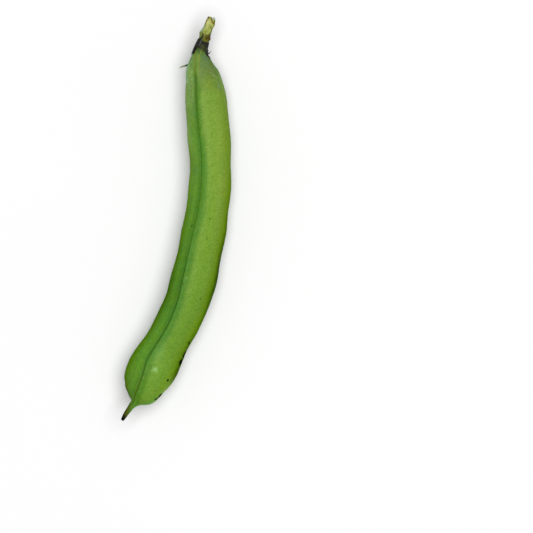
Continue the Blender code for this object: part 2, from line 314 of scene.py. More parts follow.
@dataclass
class PodForm:
    """The pod's skin as a formula, which the calyx and its threads follow too."""

    seam: Seam = Seam()
    full_thickness: float = 6.0
    swelling: float = 0.18
    bean_pitch: float = 21.5
    first_bean: float = 24.0
    dents: tuple[Ripple, ...] = (
        Ripple(0.035, 0.31, 2.0, 1.3),
        Ripple(0.021, 0.53, -3.0, 0.4),
        Ripple(0.0175, 0.97, 5.0, 2.2),
    )
    neck_folds: Ripple = Ripple(0.10, 0.25, 7.0, math.pi / 2)
    neck_fold_length: float = 9.0

    def __post_init__(self) -> None:
        """Lays the pod's middle line."""
        self.track = Track(POD_ROWS)

    def unevenness(self, along: np.ndarray, turn: np.ndarray) -> np.ndarray:
        """Shallow dents of the valves and the folds of the shrinking neck, in millimetres."""
        folds = self.neck_folds.at(along, turn) * bump(along, self.neck_fold_length)
        return rippled(self.dents, along, turn) + folds

    def skin(
        self,
        along: np.ndarray,
        turn: np.ndarray,
        outward: Numbers = 0.0,
        fullness: Numbers = 1.0,
    ) -> tuple[np.ndarray, np.ndarray]:
        """Points of the skin.

        Args:
            along: distances along the pod from its neck, in millimetres.
            turn: angles round it from the seam, rightwards, in radians.
            outward: how far each point stands off the skin.
            fullness: how much of the section is left at each point.

        Returns:
            The points in place, and the same points on a pod laid straight: across it, along it and
            up from its middle line.
        """
        row = self.track.at(along)
        half_height, half_thickness, roll = row[:, 3], row[:, 4], np.radians(row[:, 5])
        reach = np.hypot(half_height * np.cos(roll), half_thickness * np.sin(roll))
        side = self.track.sideways(along)
        seamward = column(np.cos(roll)) * UP - column(np.sin(roll)) * side
        valveward = column(np.cos(roll)) * side + column(np.sin(roll)) * UP
        strength = np.minimum(1.0, half_thickness / self.full_thickness)
        offset = half_thickness * np.sin(turn)
        relief = np.where(
            np.cos(turn) > 0.0,
            strength**2 * self.seam.inner(offset, along),
            strength * self.seam.outer(offset),
        )
        beans = np.cos(FULL_TURN * (along - self.first_bean) / self.bean_pitch)
        wider = outward + self.swelling * beans * strength**2
        uneven = self.unevenness(along, turn) * strength
        high = (half_height + outward + uneven) * np.cos(turn) + relief
        wide = (half_thickness + wider + uneven) * np.sin(turn)
        centre = np.column_stack([row[:, 0], row[:, 1], row[:, 2] + reach])
        points = centre + column(fullness) * (seamward * column(high) + valveward * column(wide))
        straight = np.column_stack([fullness * wide, along, fullness * high])
        return points, straight

    def flank(self, along: np.ndarray, points: np.ndarray) -> np.ndarray:
        """How far to the side points stand, from -1 at the left edge seen from above to 1 at the right.

        Args:
            along: distances along the pod from its neck, in millimetres.
            points: the points in place.

        Returns:
            One share of the half width for each point.
        """
        row = self.track.at(along)
        roll = np.radians(row[:, 5])
        half_width = np.hypot(row[:, 3] * np.sin(roll), row[:, 4] * np.cos(roll))
        sideways = self.track.sideways(along)[:, :2]
        return np.sum((points[:, :2] - row[:, :2]) * sideways, axis=1) / half_width

    def turn_of(self, along: np.ndarray, direction: np.ndarray) -> np.ndarray:
        """The angle round from the seam of directions given in degrees from the top towards +X."""
        return np.radians(direction + self.track.at(along)[:, 5])


def primitive(name: str, add: Callable[..., set], **sizes: float) -> bpy.types.Object:
    """Adds a primitive at the origin and names it.

    Args:
        name: the piece's name.
        add: the operator that adds it.
        **sizes: what the operator is told.

    Returns:
        The new object, selected alone.
    """
    bpy.ops.object.select_all(action="DESELECT")
    add(location=(0.0, 0.0, 0.0), **sizes)
    piece = bpy.context.active_object
    piece.name = name
    piece.data.name = name
    return piece


def corners(piece: bpy.types.Object) -> np.ndarray:
    """Reads a mesh's points.

    Args:
        piece: the mesh's object.

    Returns:
        One row of coordinates for each point, in the mesh's own units.
    """
    flat = np.empty(len(piece.data.vertices) * 3, np.float32)
    piece.data.vertices.foreach_get("co", flat)
    return flat.reshape(-1, 3).astype(float)


def ball(name: str, columns: int, rings: int) -> tuple[bpy.types.Object, np.ndarray, np.ndarray]:
    """Adds a ball that is then drawn out into a piece.

    Args:
        name: the piece's name.
        columns: how many faces go round it.
        rings: how many go from its top to its bottom.

    Returns:
        The ball, each point's share of the way from the top to the bottom, and its angle round.
    """
    sphere = bpy.ops.mesh.primitive_uv_sphere_add
    piece = primitive(name, sphere, segments=columns, ring_count=rings, radius=1.0)
    x, y, z = corners(piece).T
    return piece, np.arctan2(np.hypot(x, y), z) / np.pi, np.arctan2(y, x)


def move_corners(piece: bpy.types.Object, points: np.ndarray) -> None:
    """Moves a mesh's points and smooths its shading.

    Args:
        piece: the piece, selected alone.
        points: the points' new places, in millimetres.
    """
    piece.data.vertices.foreach_set("co", (points * MM).astype(np.float32).ravel())
    piece.data.update()
    bpy.ops.object.shade_smooth()


def store(piece: bpy.types.Object, name: str, values: np.ndarray) -> None:
    """Keeps a number or a vector for each point of a mesh, for its finish to read.

    Args:
        piece: the piece.
        name: the name that the finish reads.
        values: one number or one row of three for each point.
    """
    kind, key = ("FLOAT", "value") if values.ndim == 1 else ("FLOAT_VECTOR", "vector")
    attribute = piece.data.attributes.new(name, kind, "POINT")
    attribute.data.foreach_set(key, values.astype(np.float32).ravel())


def dress(piece: bpy.types.Object, finish: bpy.types.Material, slot: str, *nodes: str) -> bpy.types.Object:
    """Gives a finished piece its material and its place in the frame.

    Args:
        piece: the piece.
        finish: its material.
        slot: the record's material slot, which is not used.
        *nodes: the frame's nodes that it stands for.

    Returns:
        The same piece.
    """
    piece.data.materials.clear()
    piece.data.materials.append(finish)
    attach(piece, BODY)
    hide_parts(*nodes)
    return piece


class Blend(Enum):
    """How one colour goes over another."""

    MIX = "MIX"
    MULTIPLY = "MULTIPLY"


class Socket(Enum):
    """What a node group's input or output carries."""

    NUMBER = "NodeSocketFloat"
    VECTOR = "NodeSocketVector"


@dataclass(frozen=True)
class Levels:
    """A level that starts at one value and climbs or falls smoothly to the next ones."""

    start: float
    steps: tuple[Step, ...]


class Wiring:
    """Adds nodes to a tree and joins them, so that a finish reads from top to bottom."""

    def __init__(self, tree: bpy.types.NodeTree) -> None:
        """Works on one tree.

        Args:
            tree: the material's or group's node tree.
        """
        self.tree = tree

    def feed(self, socket: Wire, value: Feed) -> None:
        """Joins a socket to another one, or sets its value.

        Args:
            socket: the input that is fed.
            value: another node's output, or a plain value.
        """
        if isinstance(value, Wire):
            self.tree.links.new(value, socket)
        else:
            socket.default_value = value

    def node(self, kind: str, feeds: Optional[dict[str, Feed]] = None, **settings: object) -> bpy.types.Node:
        """Adds a node.

        Args:
            kind: its kind.
            feeds: what goes into its inputs, by their names.
            **settings: its own settings.

        Returns:
            The new node.
        """
        made = self.tree.nodes.new(kind)
        for name, value in settings.items():
            setattr(made, name, value)
        for name, value in (feeds or {}).items():
            self.feed(made.inputs[name], value)
        return made

    def math(self, operation: str, *values: Feed, clamp: bool = False) -> Wire:
        """One sum on numbers.

        Args:
            operation: the sum's name.
            *values: its numbers, in order.
            clamp: whether the result is kept from 0 to 1.

        Returns:
            The result.
        """
        made = self.node("ShaderNodeMath", operation=operation, use_clamp=clamp)
        for socket, value in zip(made.inputs, values):
            self.feed(socket, value)
        return made.outputs[0]

    def vector(self, operation: str, *values: Feed) -> Wire:
        """One sum on vectors.

        Args:
            operation: the sum's name.
            *values: its vectors, in order.

        Returns:
            The result, which for a length is a number.
        """
        made = self.node("ShaderNodeVectorMath", operation=operation)
        for socket, value in zip(made.inputs, values):
            self.feed(socket, value)
        return made.outputs["Value" if operation == "LENGTH" else "Vector"]

    def product(self, *values: Feed) -> Feed:
        """Numbers multiplied together."""
        return reduce(lambda first, second: self.math("MULTIPLY", first, second), values)

    def apart(self, value: Feed, place: float) -> Wire:
        """How far a number is from a place."""
        return self.math("ABSOLUTE", self.math("SUBTRACT", value, place))

    def parts(self, vector: Feed) -> tuple[Wire, ...]:
        """A vector's three numbers."""
        return tuple(self.node("ShaderNodeSeparateXYZ", {"Vector": vector}).outputs)

    def combine(self, x: Feed, y: Feed, z: Feed) -> Wire:
        """A vector made of three numbers."""
        return self.node("ShaderNodeCombineXYZ", {"X": x, "Y": y, "Z": z}).outputs[0]

    def turned(self, vector: Feed, angle: Feed) -> Wire:
        """A vector turned about the upright axis, by an angle in radians."""
        feeds = {"Vector": vector, "Angle": angle}
        return self.node("ShaderNodeVectorRotate", feeds, rotation_type="Z_AXIS").outputs[0]

    def place(self) -> Wire:
        """The place on the piece, in metres."""
        return self.node("ShaderNodeTexCoord").outputs["Object"]

    def noise(self, vector: Feed, scale: Feed, detail: Feed = 2.0, seed: Optional[Feed] = None) -> Wire:
        """Soft noise about a half.

        Args:
            vector: where it is read.
            scale: how fine it is.
            detail: how many finer layers it has.
            seed: the draw, where more than one is needed.

        Returns:
            The noise, as a number.
        """
        feeds = {"Vector": vector, "Scale": scale, "Detail": detail}
        if seed is None:
            return self.node("ShaderNodeTexNoise", feeds).outputs["Fac"]
        return self.node("ShaderNodeTexNoise", {**feeds, "W": seed}, noise_dimensions="4D").outputs["Fac"]

    def climb(self, value: Feed, low: Feed, high: Feed, bottom: Feed = 0.0, top: Feed = 1.0) -> Wire:
        """A smooth climb from the bottom to the top as a value goes from low to high."""
        feeds = {"Value": value, "From Min": low, "From Max": high, "To Min": bottom, "To Max": top}
        return self.node("ShaderNodeMapRange", feeds, interpolation_type="SMOOTHSTEP").outputs["Result"]

    def levels(self, value: Feed, levels: Levels) -> Feed:
        """A level that follows a value from one step to the next.

        Args:
            value: what the steps are measured by.
            levels: the level at the start, and the steps.

        Returns:
            The level.
        """
        level = levels.start
        for low, high, after in levels.steps:
            level = self.climb(value, low, high, level, after)
        return level

    def mix(self, factor: Feed, under: Feed, over: Feed, blend: Blend = Blend.MIX) -> Wire:
        """One colour laid over another.

        Args:
            factor: how much of the upper one covers.
            under: the lower colour.
            over: the upper colour.
            blend: how it goes over.

        Returns:
            The new colour.
        """
        made = self.node("ShaderNodeMix", data_type="RGBA", blend_type=blend.value)
        for place, value in ((0, factor), (6, under), (7, over)):
            self.feed(made.inputs[place], value)
        return made.outputs[2]

    def ramp(self, factor: Feed, stops: tuple[Stop, ...]) -> Wire:
        """A colour that changes along its stops.

        Args:
            factor: the place on the ramp, from 0 to 1.
            stops: the places and their colours.

        Returns:
            The colour.
        """
        made = self.node("ShaderNodeValToRGB", {"Fac": factor})
        band = made.color_ramp
        band.interpolation = "EASE"
        while len(band.elements) < len(stops):
            band.elements.new(1.0)
        for element, (place, colour) in zip(band.elements, stops):
            element.position = place
            element.color = colour
        return made.outputs["Color"]

    def group(self, tree: bpy.types.NodeTree, **values: Feed) -> Wire:
        """The mask of a shared effect, whose values are named as its inputs in lower case."""
        feeds = {name.replace("_", " ").capitalize(): value for name, value in values.items()}
        return self.node("ShaderNodeGroup", feeds, node_tree=tree).outputs["Mask"]


class MaskGroup(Wiring):
    """A shared effect: a node group with named inputs that puts out one mask."""

    def __init__(self, name: str, inputs: dict[str, Optional[float]]) -> None:
        """Starts the group.

        Args:
            name: the effect's name.
            inputs: each input's name, with its usual value, or None where it carries a place.
        """
        super().__init__(bpy.data.node_groups.new(name, "ShaderNodeTree"))
        for label, usual in inputs.items():
            kind = Socket.VECTOR if usual is None else Socket.NUMBER
            socket = self.tree.interface.new_socket(label, in_out="INPUT", socket_type=kind.value)
            if usual is not None:
                socket.default_value = usual
        self.tree.interface.new_socket("Mask", in_out="OUTPUT", socket_type=Socket.NUMBER.value)
        self.given = self.node("NodeGroupInput").outputs

    def sharpened(self, noise: Wire) -> Wire:
        """Noise spread about its middle by the given contrast and kept from 0 to 1."""
        steepness = self.math("MULTIPLY", self.given["Contrast"], 2.0)
        return self.math("MULTIPLY_ADD", self.math("SUBTRACT", noise, 0.5), steepness, 0.5, clamp=True)

    def put_out(self, mask: Wire) -> bpy.types.NodeTree:
        """Ends the group with its mask."""
        self.node("NodeGroupOutput", {"Mask": mask})
        return self.tree


class SharedEffects:
    """The effects that more than one finish uses, each built once."""

    edge_grain: float = 1800.0    # how many waves of a mark's ragged edge go to a metre

    def __init__(self) -> None:
        """Builds every effect."""
        self.mottle = self._mottle()
        self.strands = self._strands()
        self.mark = self._mark()

    @staticmethod
    def _mottle() -> bpy.types.NodeTree:
        """Builds soft patches of a size.

        Returns:
            The effect, a mask from 0 to 1.
        """
        usual = {"Vector": None, "Size": 1.0, "Contrast": 1.0, "Detail": 2.0, "Seed": 0.0}
        effect = MaskGroup("Mottle", usual)
        given = effect.given
        scale = effect.math("DIVIDE", 1.0, given["Size"])
        noise = effect.noise(given["Vector"], scale, given["Detail"], given["Seed"])
        return effect.put_out(effect.sharpened(noise))

    @staticmethod
    def _strands() -> bpy.types.NodeTree:
        """Builds streaks of a width and a length, at an angle to the piece's long way.

        Returns:
            The effect, a mask from 0 to 1.
        """
        usual = {"Vector": None, "Width": 0.5, "Length": 6.0, "Angle": 0.0, "Contrast": 1.0}
        effect = MaskGroup("Strands", usual)
        given = effect.given
        narrow = effect.math("DIVIDE", 1.0, given["Width"])
        stretch = effect.combine(narrow, effect.math("DIVIDE", 1.0, given["Length"]), narrow)
        turned = effect.turned(given["Vector"], given["Angle"])
        noise = effect.noise(effect.vector("MULTIPLY", turned, stretch), 1.0)
        return effect.put_out(effect.sharpened(noise))

    def _mark(self) -> bpy.types.NodeTree:
        """Builds a soft oval mark with a ragged edge at a place on the piece, in metres.

        Returns:
            The effect, a mask from 0 to 1.
        """
        usual = {"Centre": None, "Heading": 0.0, "Half length": 0.001, "Half width": 0.001}
        effect = MaskGroup("Mark", {**usual, "Depth": 0.002, "Softness": 0.6, "Raggedness": 0.4})
        given, place = effect.given, effect.place()
        away = effect.vector("SUBTRACT", place, given["Centre"])
        turned = effect.turned(away, effect.math("MULTIPLY", given["Heading"], -1.0))
        size = effect.combine(given["Half length"], given["Half width"], given["Depth"])
        reach = effect.vector("LENGTH", effect.vector("DIVIDE", turned, size))
        grain = effect.math("SUBTRACT", effect.noise(place, self.edge_grain), 0.5)
        ragged = effect.product(grain, given["Raggedness"], 2.0)
        inner = effect.math("SUBTRACT", 1.0, given["Softness"])
        return effect.put_out(effect.climb(effect.math("ADD", reach, ragged), inner, 1.0, 1.0, 0.0))


@dataclass(frozen=True)
class Mottle:
    """Soft patches: their size in millimetres, their contrast, their detail and their draw."""

    size: float
    contrast: float
    detail: float = 2.0
    seed: float = 0.0


@dataclass(frozen=True)
class Strands:
    """Streaks: their width and length in millimetres, their contrast and their angle in radians."""

    width: float
    length: float
    contrast: float
    angle: float = 0.0


@dataclass(frozen=True)
class Tint:
    """Soft patches of another colour, and how much of them covers."""

    colour: Colour
    patches: Mottle
    cover: float


class Painter(Wiring):
    """Paints one material, laying colours over each other with the shared effects at hand."""

    def __init__(self, name: str, effects: SharedEffects) -> None:
        """Starts the material.

        Args:
            name: its name.
            effects: the shared effects.
        """
        self.material = bpy.data.materials.new(name)
        self.material.use_nodes = True
        super().__init__(self.material.node_tree)
        self.effects = effects
        self.colour: Feed = (0.0, 0.0, 0.0, 1.0)

    def kept(self, name: str, output: str = "Fac") -> Wire:
        """What the piece keeps for each of its points under a name."""
        return self.node("ShaderNodeAttribute", attribute_name=name).outputs[output]

    def mottle(self, vector: Feed, look: Mottle) -> Wire:
        """Soft patches, from 0 to 1."""
        return self.group(self.effects.mottle, vector=vector, **asdict(look))

    def strands(self, vector: Feed, look: Strands) -> Wire:
        """Streaks, from 0 to 1."""
        return self.group(self.effects.strands, vector=vector, **asdict(look))

    def lay(self, cover: Feed, colour: Feed, blend: Blend = Blend.MIX) -> None:
        """Lays a colour over what is painted so far."""
        self.colour = self.mix(cover, self.colour, colour, blend)

    def lay_tint(self, vector: Feed, tint: Tint, *where: Feed) -> None:
        """Lays patches of another colour over what is painted so far, where masks let them through."""
        self.lay(self.product(self.mottle(vector, tint.patches), tint.cover, *where), tint.colour)

    def finished(
        self, roughness: Feed, gloss: Feed, height: Feed = 0.0, depth: float = 0.0, strength: float = 0.0
    ) -> bpy.types.Material:
        """Gives the surface its colour, its gloss and its relief.

        Args:
            roughness: how rough it is.
            gloss: how much light it throws back.
            height: the height of its grain, from 0 to 1.
            depth: how deep the grain is, in metres.
            strength: how strongly the grain shows.

        Returns:
            The material.
        """
        shader = self.tree.nodes["Principled BSDF"]
        self.feed(shader.inputs["Base Color"], self.colour)
        self.feed(shader.inputs["Roughness"], roughness)
        self.feed(shader.inputs["Specular IOR Level"], gloss)
        if strength:
            relief = self.node("ShaderNodeBump", {"Strength": strength, "Distance": depth, "Height": height})
            self.feed(shader.inputs["Normal"], relief.outputs["Normal"])
        return self.material


@dataclass(frozen=True)
class Mark:
    """A mark on the skin: its place, size, heading and colour, and how much of it covers."""

    x: float
    y: float
    half_length: float
    half_width: float
    colour: Colour
    cover: float = 0.7
    heading: float = 90.0
    softness: float = 0.7
    raggedness: float = 0.4
    depth: float = 4.0
    z: Optional[float] = None

    def lay(self, paint: Painter, height: float) -> None:
        """Lays the mark over what is painted so far.

        Args:
            paint: the material's painter.
            height: the mark's height over the floor, unless it gives its own, in millimetres.
        """
        z = height if self.z is None else self.z
        mask = paint.group(
            paint.effects.mark,
            centre=(self.x * MM, self.y * MM, z * MM),
            heading=math.radians(self.heading),
            half_length=self.half_length * MM,
            half_width=self.half_width * MM,
            depth=self.depth * MM,
            softness=self.softness,
            raggedness=self.raggedness,
        )
        paint.lay(paint.product(mask, self.cover), self.colour)


@dataclass(frozen=True)
class SkinPlace:
    """Where a point of the pod's skin is: its straightened place, its parts and two shares."""

    straight: Wire    # the place on the pod laid straight, in millimetres
    across: Wire      # to the right of the seam
    along: Wire       # from the neck
    rise: Wire        # over the pod's middle line
    share: Wire       # of the way from the neck to the beak
    flank: Wire       # from -1 at the left edge seen from above to 1 at the right


@dataclass(frozen=True)
class SeamLine:
    """A fine line beside the seam: its colour, its offset and how it covers along the pod."""

    colour: Colour
    offset: float
    cover: Levels


@dataclass(frozen=True)
class PodGreen:
    """The living skin: two valves of different greens, the seam, the neck and the beak."""

    length: float
    right_valve: tuple[Stop, ...] = (
        (0.07, shade(111, 141, 71)),
        (0.11, shade(122, 151, 64)),
        (0.14, shade(131, 166, 68)),
        (0.45, shade(124, 164, 59)),
        (0.75, shade(113, 156, 54)),
        (0.88, shade(116, 161, 58)),
        (0.97, shade(106, 144, 48)),
    )
    left_valve: tuple[Stop, ...] = (
        (0.02, shade(121, 154, 91, 0.42)),
        (0.09, shade(119, 150, 82, 0.45)),
        (0.20, shade(100, 140, 55, 0.68)),
        (0.56, shade(84, 132, 42, 0.76)),
        (0.64, shade(76, 122, 38, 0.76)),
        (0.82, shade(92, 142, 44, 0.78)),
        (0.96, shade(84, 122, 38, 0.78)),
    )
    right_band: tuple[Stop, ...] = (
        (0.05, shade(118, 156, 64)),
        (0.14, shade(91, 137, 40)),
        (0.30, shade(83, 139, 40)),
        (0.62, shade(77, 130, 42)),
        (0.80, shade(84, 138, 46)),
        (0.89, shade(80, 131, 36)),
        (0.95, shade(76, 122, 26)),
    )
    left_band: tuple[Stop, ...] = (
        (0.05, shade(120, 158, 70, 0.85)),
        (0.10, shade(100, 136, 54, 0.90)),
        (0.20, shade(80, 129, 42, 0.93)),
        (0.65, shade(68, 116, 33, 0.93)),
        (0.83, shade(80, 131, 42, 0.95)),
        (0.95, shade(82, 123, 36)),
    )
    groove: tuple[Stop, ...] = (
        (0.030, shade(124, 116, 54)),
        (0.044, shade(132, 138, 64)),
        (0.058, shade(126, 140, 58)),
        (0.072, shade(98, 124, 32)),
        (0.085, shade(66, 100, 10)),
        (0.150, shade(60, 102, 10)),
        (0.500, shade(62, 110, 26)),
        (0.630, shade(44, 96, 20)),
        (0.850, shade(54, 96, 24)),
        (0.905, shade(78, 96, 16)),
        (0.950, shade(86, 106, 24)),
    )
    # The left edge's green, paled by painted sheen near the neck and darkened by painted shade towards the
    # beak.
    left_edge: tuple[Stop, ...] = (
        (0.06, shade(138, 178, 130, 0.42)),
        (0.13, shade(126, 158, 88, 0.46)),
        (0.22, shade(124, 156, 84, 0.54)),
        (0.30, shade(104, 138, 54, 0.59)),
        (0.38, shade(100, 138, 48, 0.60)),
        (0.48, shade(86, 124, 34, 0.62)),
        (0.56, shade(76, 114, 28, 0.62)),
        (0.64, shade(58, 98, 18, 0.62)),
        (0.82, shade(80, 120, 26, 0.62)),
    )
    # Painted light: a paler green on the right valve's slope, brighter than the lamp leaves it.
    right_slope: Colour = shade(129, 161, 64, 0.86)
    # The right shoulder's olive, partly painted shade where it darkens along the middle of the pod.
    right_shoulder: tuple[Stop, ...] = (
        (0.30, shade(116, 146, 46, 0.76)),
        (0.45, shade(110, 140, 36, 0.76)),
        (0.56, shade(104, 136, 30, 0.76)),
        (0.63, shade(96, 130, 22, 0.75)),
        (0.71, shade(106, 143, 34, 0.75)),
        (0.80, shade(98, 134, 28, 0.75)),
        (0.88, shade(111, 149, 42, 0.75)),
        (0.94, shade(100, 146, 56, 0.76)),
    )
    # The right edge's olive, with painted shade darkening it along the middle of the pod and painted sheen
    # paling it at its ends.
    right_edge: tuple[Stop, ...] = (
        (0.06, shade(122, 154, 108, 0.56)),
        (0.15, shade(118, 144, 70, 0.60)),
        (0.28, shade(110, 140, 52, 0.63)),
        (0.38, shade(96, 128, 30, 0.64)),
        (0.47, shade(77, 108, 18, 0.64)),
        (0.55, shade(36, 62, 6, 0.64)),
        (0.63, shade(48, 77, 7, 0.64)),
        (0.71, shade(82, 116, 22, 0.64)),
        (0.78, shade(64, 94, 12, 0.64)),
        (0.83, shade(58, 84, 8, 0.64)),
        (0.88, shade(130, 166, 76, 0.64)),
        (0.94, shade(124, 170, 108, 0.64)),
    )
    deep: Colour = shade(78, 126, 32)
    # The band beside the seam, by millimetres across, and the edges seen from above, by flank; the edges
    # carry painted shade and sheen, and the right slope painted light.
    band_left: Climb = (-1.9, -0.7)
    band_right: Climb = (0.0, 0.9)
    band_fades: Climb = (0.24, 0.34, 1.3, 1.8)
    band_ends: Climb = (0.22, 0.42, 3.3, 5.0)
    band_patches: Mottle = Mottle(5.0, 1.4, seed=17.0)
    band_swing: float = 0.9
    left_edge_reach: Climb = (-0.72, -1.0)
    body_begins: Climb = (0.10, 0.22)
    slope_ends: Climb = (0.34, 0.54, 1.0, 0.0)
    slope_reach: Climb = (0.05, 0.50)
    shoulder_reach: Climb = (0.48, 0.85)
    right_edge_reach: Climb = (0.78, 1.0)
    # Patches, grain and veins all over.
    deeper: Tint = Tint(deep, Mottle(6.0, 1.6, seed=3.0), 0.14)
    yellowed: Tint = Tint(shade(142, 166, 52), Mottle(2.4, 2.4, seed=7.0), 0.14)
    cooler: Tint = Tint(shade(82, 144, 66), Mottle(5.0, 2.4, seed=31.0), 0.26)
    cooler_middle: float = -2.0
    cooler_reach: Climb = (2.0, 5.5, 1.0, 0.0)
    grain: Mottle = Mottle(0.60, 2.2, 3.0, 11.0)
    grain_light: tuple[Stop, ...] = ((0.0, (0.87, 0.89, 0.80, 1.0)), (1.0, (1.13, 1.11, 1.20, 1.0)))
    veins: Strands = Strands(0.55, 4.5, 1.5, math.radians(-38.0))
    vein_cover: float = 0.10
    # The seam's strands, its two fine lines and its groove.
    seam_faces_up: Climb = (0.0, 1.0)
    seam_strands: Strands = Strands(0.26, 18.0, 2.4)
    seam_strands_reach: Climb = (1.8, 3.4, 1.0, 0.0)
    seam_strands_cover: float = 0.30
    seam_lines: tuple[SeamLine, ...] = (
        SeamLine(deep, 1.3, Levels(0.0, ((0.26, 0.32, 0.50), (0.44, 0.50, 0.0)))),
        SeamLine(shade(104, 156, 72), 0.95, Levels(0.0, ((0.44, 0.52, 0.42), (0.60, 0.68, 0.21)))),
    )
    seam_line_width: Climb = (0.08, 0.42, 1.0, 0.0)
    groove_core: float = 0.04
    groove_reach: Levels = Levels(0.55, ((0.055, 0.080, 0.80), (0.12, 0.24, 0.44), (0.60, 0.70, 0.50)))
    groove_cover: Levels = Levels(0.0, ((0.018, 0.034, 0.96), (0.04, 0.14, 0.78), (0.48, 0.58, 0.96)))
    wobble: Mottle = Mottle(9.0, 1.0, 1.0)
    wobble_width: float = 0.3
    # The neck's mottles, its yellow rib and the stain under the calyx.
    neck_reach: Climb = (-2.0, 2.0, 44.0, 20.0)
    neck_fades: float = 0.55    # share of the reach from which the mottles fade
    neck_middle: Climb = (0.8, 3.0, 0.45, 1.0)
    neck_left: Climb = (-4.0, -2.0, 0.55, 1.0)
    neck_tints: tuple[Tint, ...] = (
        Tint(shade(110, 148, 104), Mottle(1.8, 3.2, 3.0, 21.0), 0.45),
        Tint(shade(124, 134, 68), Mottle(1.5, 3.2, 3.0, 25.0), 0.55),
        Tint(shade(82, 112, 52), Mottle(1.0, 3.2, 3.0, 29.0), 0.34),
    )
    rib_yellow: Colour = shade(150, 158, 76)
    rib_offset: float = 1.65
    rib_width: Climb = (0.2, 0.7, 1.0, 0.0)
    rib_faces_up: Climb = (0.0, 1.5, 0.0, 0.40)
    rib_ends: Climb = (10.0, 20.0, 1.0, 0.0)
    stain_colour: Colour = shade(58, 66, 34)
    stain_patches: Mottle = Mottle(1.6, 1.5, 3.0)
    stain_swing: float = 2.0
    stain_ends: Climb = (3.4, 7.4, 0.92, 0.0)
    # The drying beak, whose reach is measured from its tip.
    beak_patches: Mottle = Mottle(1.2, 1.5)
    beak_swing: float = 1.2
    beak_slant: float = -1.3
    beak_olive: Colour = shade(76, 74, 14)
    olive_reach: Climb = (-9.4, -1.9)
    beak_black: Colour = shade(22, 28, 16)
    black_reach: Climb = (-3.0, -0.6)
    # Specks, gloss and relief.
    speck_colour: Colour = shade(78, 92, 24)
    speck_scale: float = 0.16
    speck_size: Climb = (0.55, 1.0, 0.0, 0.075)
    speck_cover: float = 0.35
    waxing: Mottle = Mottle(3.0, 1.2, 3.0)
    roughness: Climb = (0.0, 1.0, 0.42, 0.55)
    gloss: Climb = (0.50, 0.90, 0.07, 0.0)
    pebbles: Mottle = Mottle(0.75, 1.4, 4.0)
    raised_veins: Strands = Strands(0.5, 5.0, 1.2, math.radians(-38.0))
    vein_height: float = 0.6
    grain_depth: float = 0.00005
    grain_strength: float = 0.7
    marks: tuple[Mark, ...] = (
        Mark(7.2, -3.5, 0.50, 0.42, shade(34, 58, 10), 0.95, softness=0.5),
        Mark(15.5, -0.2, 0.62, 0.42, shade(66, 92, 20), 0.85, 40.0, softness=0.5),
        Mark(14.1, -9.4, 1.2, 0.9, shade(94, 126, 34), 0.50),
        Mark(19.4, -17.5, 0.6, 0.5, shade(90, 118, 30), 0.60),
        Mark(11.3, -37.0, 0.50, 0.42, shade(62, 92, 24), 0.80, softness=0.5),
        Mark(-3.85, -74.3, 0.80, 0.56, shade(26, 26, 4), 0.98, 70.0, softness=0.4),
        Mark(-14.9, -73.0, 0.7, 0.26, shade(160, 196, 136), 0.45, 70.0),
        Mark(-16.6, -70.6, 0.6, 0.35, shade(128, 172, 104), 0.55, 60.0),
        Mark(-9.4, -79.3, 0.7, 0.35, shade(124, 108, 34), 0.55, 30.0),
        Mark(-7.5, -61.5, 7.0, 3.2, shade(122, 172, 86), 0.35, 62.0, softness=1.0),
        Mark(3.3, -30.1, 0.8, 0.4, shade(80, 78, 20), 0.70, 66.0),
        Mark(21.0, 11.7, 0.8, 0.6, shade(142, 134, 40), 0.65),
        Mark(22.4, 14.5, 0.7, 0.6, shade(160, 180, 100), 0.45),
        Mark(4.9, -27.4, 0.8, 0.6, shade(140, 176, 96), 0.45),
        # Painted highlight: a pale soft patch on the lower bulge.
        Mark(-9.5, -69.3, 2.1, 1.5, shade(160, 204, 126), 0.78, -20.0, softness=1.0, raggedness=1.0),
        Mark(14.8, 61.0, 3.0, 1.8, shade(146, 164, 68), 0.30, 80.0, softness=1.0, raggedness=0.8),
        # Painted sheen: a pale bluish green along the neck's right edge.
        Mark(19.7, 61.0, 3.2, 1.4, shade(112, 146, 96, 0.8), 0.50, 100.0, softness=0.8, raggedness=0.8),
        Mark(5.8, -57.3, 0.9, 0.5, shade(26, 24, 4), 0.90, 60.0, softness=0.5, raggedness=0.6),
        Mark(4.0, -62.7, 1.9, 0.9, shade(16, 12, 2), 0.98, 63.0, softness=0.3, raggedness=0.7),
        Mark(2.3, -66.1, 1.7, 1.2, shade(16, 12, 2), 0.98, 60.0, softness=0.3, raggedness=0.7),
        Mark(-7.2, -81.4, 2.2, 0.85, shade(24, 22, 3), 0.94, 41.0, softness=0.5, raggedness=0.7),
        Mark(-9.2, -82.9, 1.3, 0.6, shade(44, 62, 16), 0.85, 37.0, softness=0.5),
        Mark(8.8, 21.8, 5.0, 2.1, shade(78, 120, 62, 0.9), 0.45, 80.0, softness=1.0, raggedness=0.6),
        Mark(13.6, 73.4, 2.6, 1.3, shade(92, 132, 102), 0.50, -52.0, softness=0.8, raggedness=0.8),
        Mark(10.4, 77.5, 2.6, 1.3, shade(76, 94, 52), 0.72, 70.0, raggedness=0.8),
        Mark(10.4, 76.1, 0.9, 0.7, shade(62, 94, 46), 0.45, 60.0, raggedness=0.8),
        Mark(8.9, 77.9, 1.5, 0.60, shade(20, 24, 14), 0.92, 66.0, softness=0.5),
        Mark(8.0, 76.2, 1.0, 0.65, shade(18, 24, 10), 0.95, 66.0, softness=0.4, raggedness=0.8),
        Mark(15.9, 66.8, 0.8, 0.28, shade(160, 178, 146), 0.46, -40.0, raggedness=0.9),
        Mark(17.4, 65.6, 1.3, 0.32, shade(158, 180, 144), 0.48, -38.0, raggedness=0.9),
        Mark(18.8, 64.4, 0.9, 0.34, shade(156, 178, 142), 0.46, -42.0, raggedness=0.9),
        Mark(17.1, 63.4, 0.6, 0.26, shade(150, 172, 128), 0.42, -20.0, raggedness=0.9),
    )

